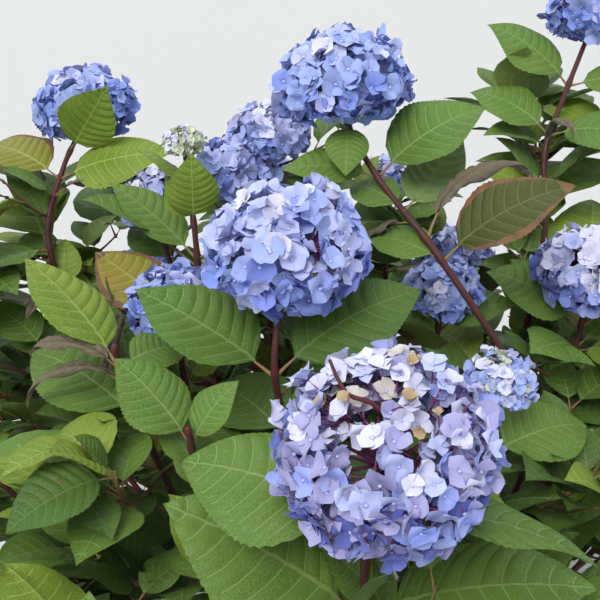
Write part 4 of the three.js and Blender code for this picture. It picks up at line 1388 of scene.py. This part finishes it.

# The leaves' tints: two colours of the blade, then the colour of its veins. Deep is the mid green darkened
# as painted shade, and bright a lighter, yellower green as painted light.
LEAF_TINTS = {
    "deep": ((0.052, 0.108, 0.020), (0.076, 0.142, 0.028), (0.13, 0.21, 0.06)),
    "mid": ((0.076, 0.152, 0.026), (0.116, 0.200, 0.036), (0.20, 0.30, 0.09)),
    "bright": ((0.128, 0.212, 0.022), (0.184, 0.258, 0.032), (0.30, 0.39, 0.10)),
    "bronze": ((0.166, 0.188, 0.020), (0.228, 0.180, 0.028), (0.36, 0.35, 0.10)),
    "dusky": ((0.046, 0.072, 0.014), (0.064, 0.068, 0.018), (0.14, 0.15, 0.05)),
    "dry": ((0.165, 0.135, 0.085), (0.105, 0.085, 0.052), (0.24, 0.19, 0.13)),
}
SCORCHED = ("bronze", "dusky")


def leaf_materials(tint):
    """The blade's top, its veins, its paler underside and its margin, which is scorched on some tints."""
    colour, other, vein = LEAF_TINTS[tint]
    pale = tuple(0.55 * c + 0.3 * v + 0.03 for c, v in zip(other, vein))
    blade = finish_of(f"leaf_{tint}", colour, other, 0.5, 9, 0.5, 700, net_colour=vein)
    margin = finish_of(f"scorch_{tint}", *FINISHES["scorch"]) if tint in SCORCHED else blade
    return [blade, finish_of(f"vein_{tint}", vein, tuple(0.85 * v for v in vein), 0.5, 30, 0.2, 900),
            finish_of(f"underleaf_{tint}", pale, tuple(0.88 * p for p in pale), 0.66, 12, 0.4, 800), margin]


# What the leaves look like one by one

# The stated leaves that differ from the usual, by shoot and number: how far one turns its face from level
# towards the front (facing) or over (degrees more), its bend, its width and its tint. Their bright and deep
# tints are painted light and painted shade.
STATED_LEAVES = {
    ("front", 0): dict(wide=0.7),
    ("front", 1): dict(facing=-0.35, bend=0.9, wide=0.5),
    ("front", 2): dict(facing=0.5),
    ("front", 3): dict(facing=0.0),
    ("centre", 0): dict(facing=0.1, bend=0.35),
    ("centre", 1): dict(tint="deep"),
    ("top", 0): dict(facing=0.9),
    ("top", 4): dict(over=180, wide=0.52),
    ("top", 6): dict(tint="dusky"),
    ("left", 0): dict(facing=1.0, bend=0.3, tint="bright"),
    ("left", 1): dict(tint="bronze"),
    ("left", 2): dict(tint="bright"),
    ("pale", 0): dict(facing=1.0, tint="bright"),
    ("pale", 1): dict(facing=0.6, tint="bright"),
    ("pale", 2): dict(bend=0.5, wide=0.44),
    ("pale", 3): dict(tint="bright"),
    ("left_middle", 0): dict(bend=0.4, tint="bronze"),
    ("left_front", 0): dict(facing=-0.3, bend=0.5, wide=0.5, tint="bright"),
}
STATED_USUAL = dict(facing=0.3, over=0, fold=0.22, tint="mid")

# The share of the leaves that chance makes bronze, and up to which it makes them dusky
BRONZE_UP_TO, DUSKY_UP_TO = 0.035, 0.055

# A leaf's bend and fold, the curl of its halves, the waves of its margin, its roll in degrees and its width
# to the usual one: the middle value, how far chance changes it, and the key of that chance
LEAF_HABIT = dict(bend=(0.8, 0.3, 32), roll=(0, 16, 31), fold=(0.34, 0.16, 33), curl=(0.50, 0.3, 34),
                  wave=(0.014, 0.008, 35), wide=(1.08, 0.08, 37))


def tint_by_chance(leaf):
    """A leaf's tint dealt by chance, leaning to bright, as painted light, up high and on the left, and to
    deep, as painted shade, low down.
    """
    draw = chance(*leaf["key"], 21)
    light = (leaf["root"][2] - 350) / 600 - leaf["root"][0] / 2500
    if draw < BRONZE_UP_TO:
        return "bronze"
    if draw < DUSKY_UP_TO:
        return "dusky"
    if draw > 0.92 - 0.35 * light:
        return "bright"
    return "deep" if draw < 0.5 - 0.45 * light else "mid"


def finish_leaf(leaf, shoot):
    """Adds what a leaf's shape needs beyond its place. A stated leaf rolls by a share of the angle that would
    face it to the front view's eye, and a dead leaf is rolled up and narrow."""
    key = leaf["key"]
    for name, (middle, scatter, number) in LEAF_HABIT.items():
        leaf[name] = middle + spread(scatter, *key, number)
    leaf["wide"] = LEAF_WIDTH * leaf["wide"]
    leaf["phase"] = chance(*key, 36)
    if leaf["stated"] is not None:
        _, across, out = leaf_axes(leaf["azimuth"], leaf["rise"])
        to_eye = unit(EYE - leaf["root"])
        to_front = math.degrees(math.atan2(-dot(to_eye, across), dot(to_eye, out)))
        leaf.update({**STATED_USUAL, **STATED_LEAVES.get((shoot["name"], leaf["stated"]), {})})
        leaf["roll"] = to_front * leaf["facing"] + leaf["over"]
    elif "tint" in leaf:
        leaf.update(bend=1.5 + chance(*key, 38), fold=1.42, curl=3.8 + chance(*key, 39), wave=0.04, wide=0.32)
    else:
        leaf["tint"] = tint_by_chance(leaf)
    return leaf


# The shrub

# Shoots, their canes, and their leaves and twigs where there is room
shoots = [make_shoot(plan, index) for index, plan in enumerate([*FRONT_SHOOTS, *ring_shoots()])]
seat_canes(shoots)
room = Room(shoots, [shoot["cane"] for shoot in shoots])
for shoot in shoots:
    for leaf in wanted_of(shoot, stated=True):
        room.add_stated(leaf)
        shoot["leaves"].append(leaf)
for shoot in shoots:
    shoot["limbs"] = [limb for limb in shoot["limbs"] if limb["key"] < TWIG
                      or not room.hides_front(limb["curve"].at(np.linspace(0.2, 1, 8))).any()]
    for leaf in wanted_of(shoot, stated=False):
        place_leaf(leaf, shoot, room)
for shoot in shoots:
    fine_twigs(shoot, room)
dry_leaves(shoots)
foliage = [f"foliage_{shoot['name']}" for shoot in shoots]

# The leaves: the fullest blades for the stated and the dead ones and for those nearest to the front view
BLADES = {"front": leaf_template(9, 3, (0.28, 0.55, 0.8), 0.035, 0.0036),
          "middle": leaf_template(7, 0, (0.35, 0.7), 0.02, 0.006),
          "far": leaf_template(4, 0, (0.6,), 0.0, 0.008)}
FRONT_WITHIN, MIDDLE_WITHIN = 850, 1230


def blade_of(leaf):
    """Which of the blades a leaf gets, by how far it is from where the front view is taken."""
    far = np.linalg.norm(leaf["root"] - EYE)
    if leaf["stated"] is not None or leaf["tint"] == "dry" or far < FRONT_WITHIN:
        return "front"
    return "middle" if far < MIDDLE_WITHIN else "far"


stalks = Heap()
all_leaves = [finish_leaf(leaf, shoot) for shoot in shoots for leaf in shoot["leaves"]]
for tint in LEAF_TINTS:
    materials = leaf_materials(tint)
    for part, template in BLADES.items():
        some = [leaf for leaf in all_leaves if leaf["tint"] == tint and blade_of(leaf) == part]
        if some:
            heap = Heap()
            heap.add(grow_leaves(some, template), template[1], template[2])
            heap.finish(f"leaves_{tint}_{part}", materials, foliage)
            stalks.add(*grow_stalks(some))
stalk_material = finish_of("leaf_stalk", *FINISHES["leaf_stalk"])
stalks.finish("leaf_stalks", [stalk_material], foliage)

# Stems and twigs, which swell at the leaves that they bear
stems, twigs = Heap(), Heap()
shares = np.linspace(0, 1, 120)
for shoot in shoots:
    for limb in shoot["limbs"]:
        line = limb["curve"]
        roots = np.array([leaf["root"] for leaf in shoot["leaves"]] or [line.at(0)])
        gaps = np.linalg.norm(line.at(shares)[:, None] - roots[None], axis=-1)
        nodes = sorted({round(float(shares[k]), 2)
                        for k, gap in zip(gaps.argmin(axis=0), gaps.min(axis=0)) if gap < 2})
        heap = stems if limb["key"] == STEM else twigs
        heap.add(*grow_stem(limb, nodes, 40 + shoot["index"]))
spent = through(shoots[0]["heads"][0]["at"] + np.array(SPENT_BRANCH))
stems.add(*tube(spent, np.linspace(*SPENT_THICKNESS, 20)[:, None], 7, 20))
stem_material = finish_of("stem_red_brown", *FINISHES["stem_red_brown"])
twig_material = finish_of("twig_green_red", *FINISHES["twig_green_red"])
stems.finish("stems", [stem_material], foliage)
twigs.finish("twigs", [twig_material], foliage)

# Blossom: the finer sepals for the two nearest heads
FINE_HEADS = ("front", "centre")
fine_sepal, plain_sepal = sepal_template(5, 4), sepal_template(3, 2)
blossom = {name: Heap() for name in (*TINTS, "bead", "pedicel")}
for shoot in shoots:
    rng = np.random.default_rng(SEED + shoot["index"])
    mix = HEAD_MIX.get(shoot["name"], RING_MIXES[shoot["index"] % len(RING_MIXES)])
    sepal = fine_sepal if shoot["name"] in FINE_HEADS else plain_sepal
    for k, head in enumerate(shoot["heads"]):
        grow_head(head, SECOND_MIX if k else mix, blossom, sepal, rng)
for name, colour in TINTS.items():
    other = tuple(0.84 * c for c in colour)
    # The throat is the tint darkened: partly the sepals' deeper base, partly painted shade in the floret's cup
    throat = tuple(0.72 * c for c in colour)
    sepal_and_shaded_throat = [finish_of(f"sepal_{name}", colour, other, 0.6, 34, 0.25, 900, soft=0.1),
            finish_of(f"throat_{name}", throat, other, 0.6, 34, 0.25, 900)]
    blossom[name].finish(f"florets_{name}", sepal_and_shaded_throat, foliage)
blossom["bead"].finish("floret_beads", [finish_of("bead", *FINISHES["bead"])], foliage)
blossom["pedicel"].finish("pedicels", [finish_of("pedicel", *FINISHES["pedicel"])], foliage)

# Bark
canes, stool = Heap(), Heap()
for shoot in shoots:
    canes.add(*grow_cane(shoot))
stool.add(*stool_surface())
bark = finish_of("bark", *FINISHES["bark"], upright=7)
canes.finish("canes_bark", [bark], [f"cane_{shoot['name']}" for shoot in shoots])
stool.finish("stool_bark", [bark], ["stool"])


# Floor, light and camera

FLOOR_REACH = 40.0


def floor():
    """A plain pale floor a millimetre below the ground."""
    mesh = bpy.data.meshes.new("floor")
    corners = [(FLOOR_REACH * x, FLOOR_REACH * y, -MM) for x, y in ((-1, -1), (1, -1), (1, 1), (-1, 1))]
    mesh.from_pydata(corners, [], [(0, 1, 2, 3)])
    plane = in_scene("floor", mesh)
    material = bpy.data.materials.new("floor_pale")
    material.use_nodes = True
    shader = material.node_tree.nodes["Principled BSDF"]
    shader.inputs["Base Color"].default_value = (0.56, 0.56, 0.55, 1)
    shader.inputs["Roughness"].default_value = 0.9
    mesh.materials.append(material)


def lamp(name, strength, softness, turn, colour):
    """A far, wide soft light, turned by degrees from shining straight down."""
    light = bpy.data.lights.new(name, "SUN")
    light.energy, light.angle, light.color = strength, math.radians(softness), colour
    thing = in_scene(name, light)
    thing.rotation_euler = [math.radians(angle) for angle in turn]


floor()
lamp("key", 2.2, 30, (40, 0, -24), (1.0, 0.98, 0.94))
lamp("fill", 0.6, 60, (-40, 0, 30), (0.95, 0.98, 1.0))
world = bpy.data.worlds.new("studio")
world.use_nodes = True
world.node_tree.nodes["Background"].inputs["Color"].default_value = (0.86, 0.90, 0.95, 1)
world.node_tree.nodes["Background"].inputs["Strength"].default_value = 0.85
bpy.context.scene.world = world
bpy.context.scene.view_settings.view_transform = "Standard"

camera = in_scene("camera", bpy.data.cameras.new("camera"))
camera.data.lens = LENS
camera.data.sensor_width = SENSOR
camera.location = EYE * MM
camera.rotation_euler = (math.pi / 2 - PITCH, 0, 0)
bpy.context.scene.camera = camera
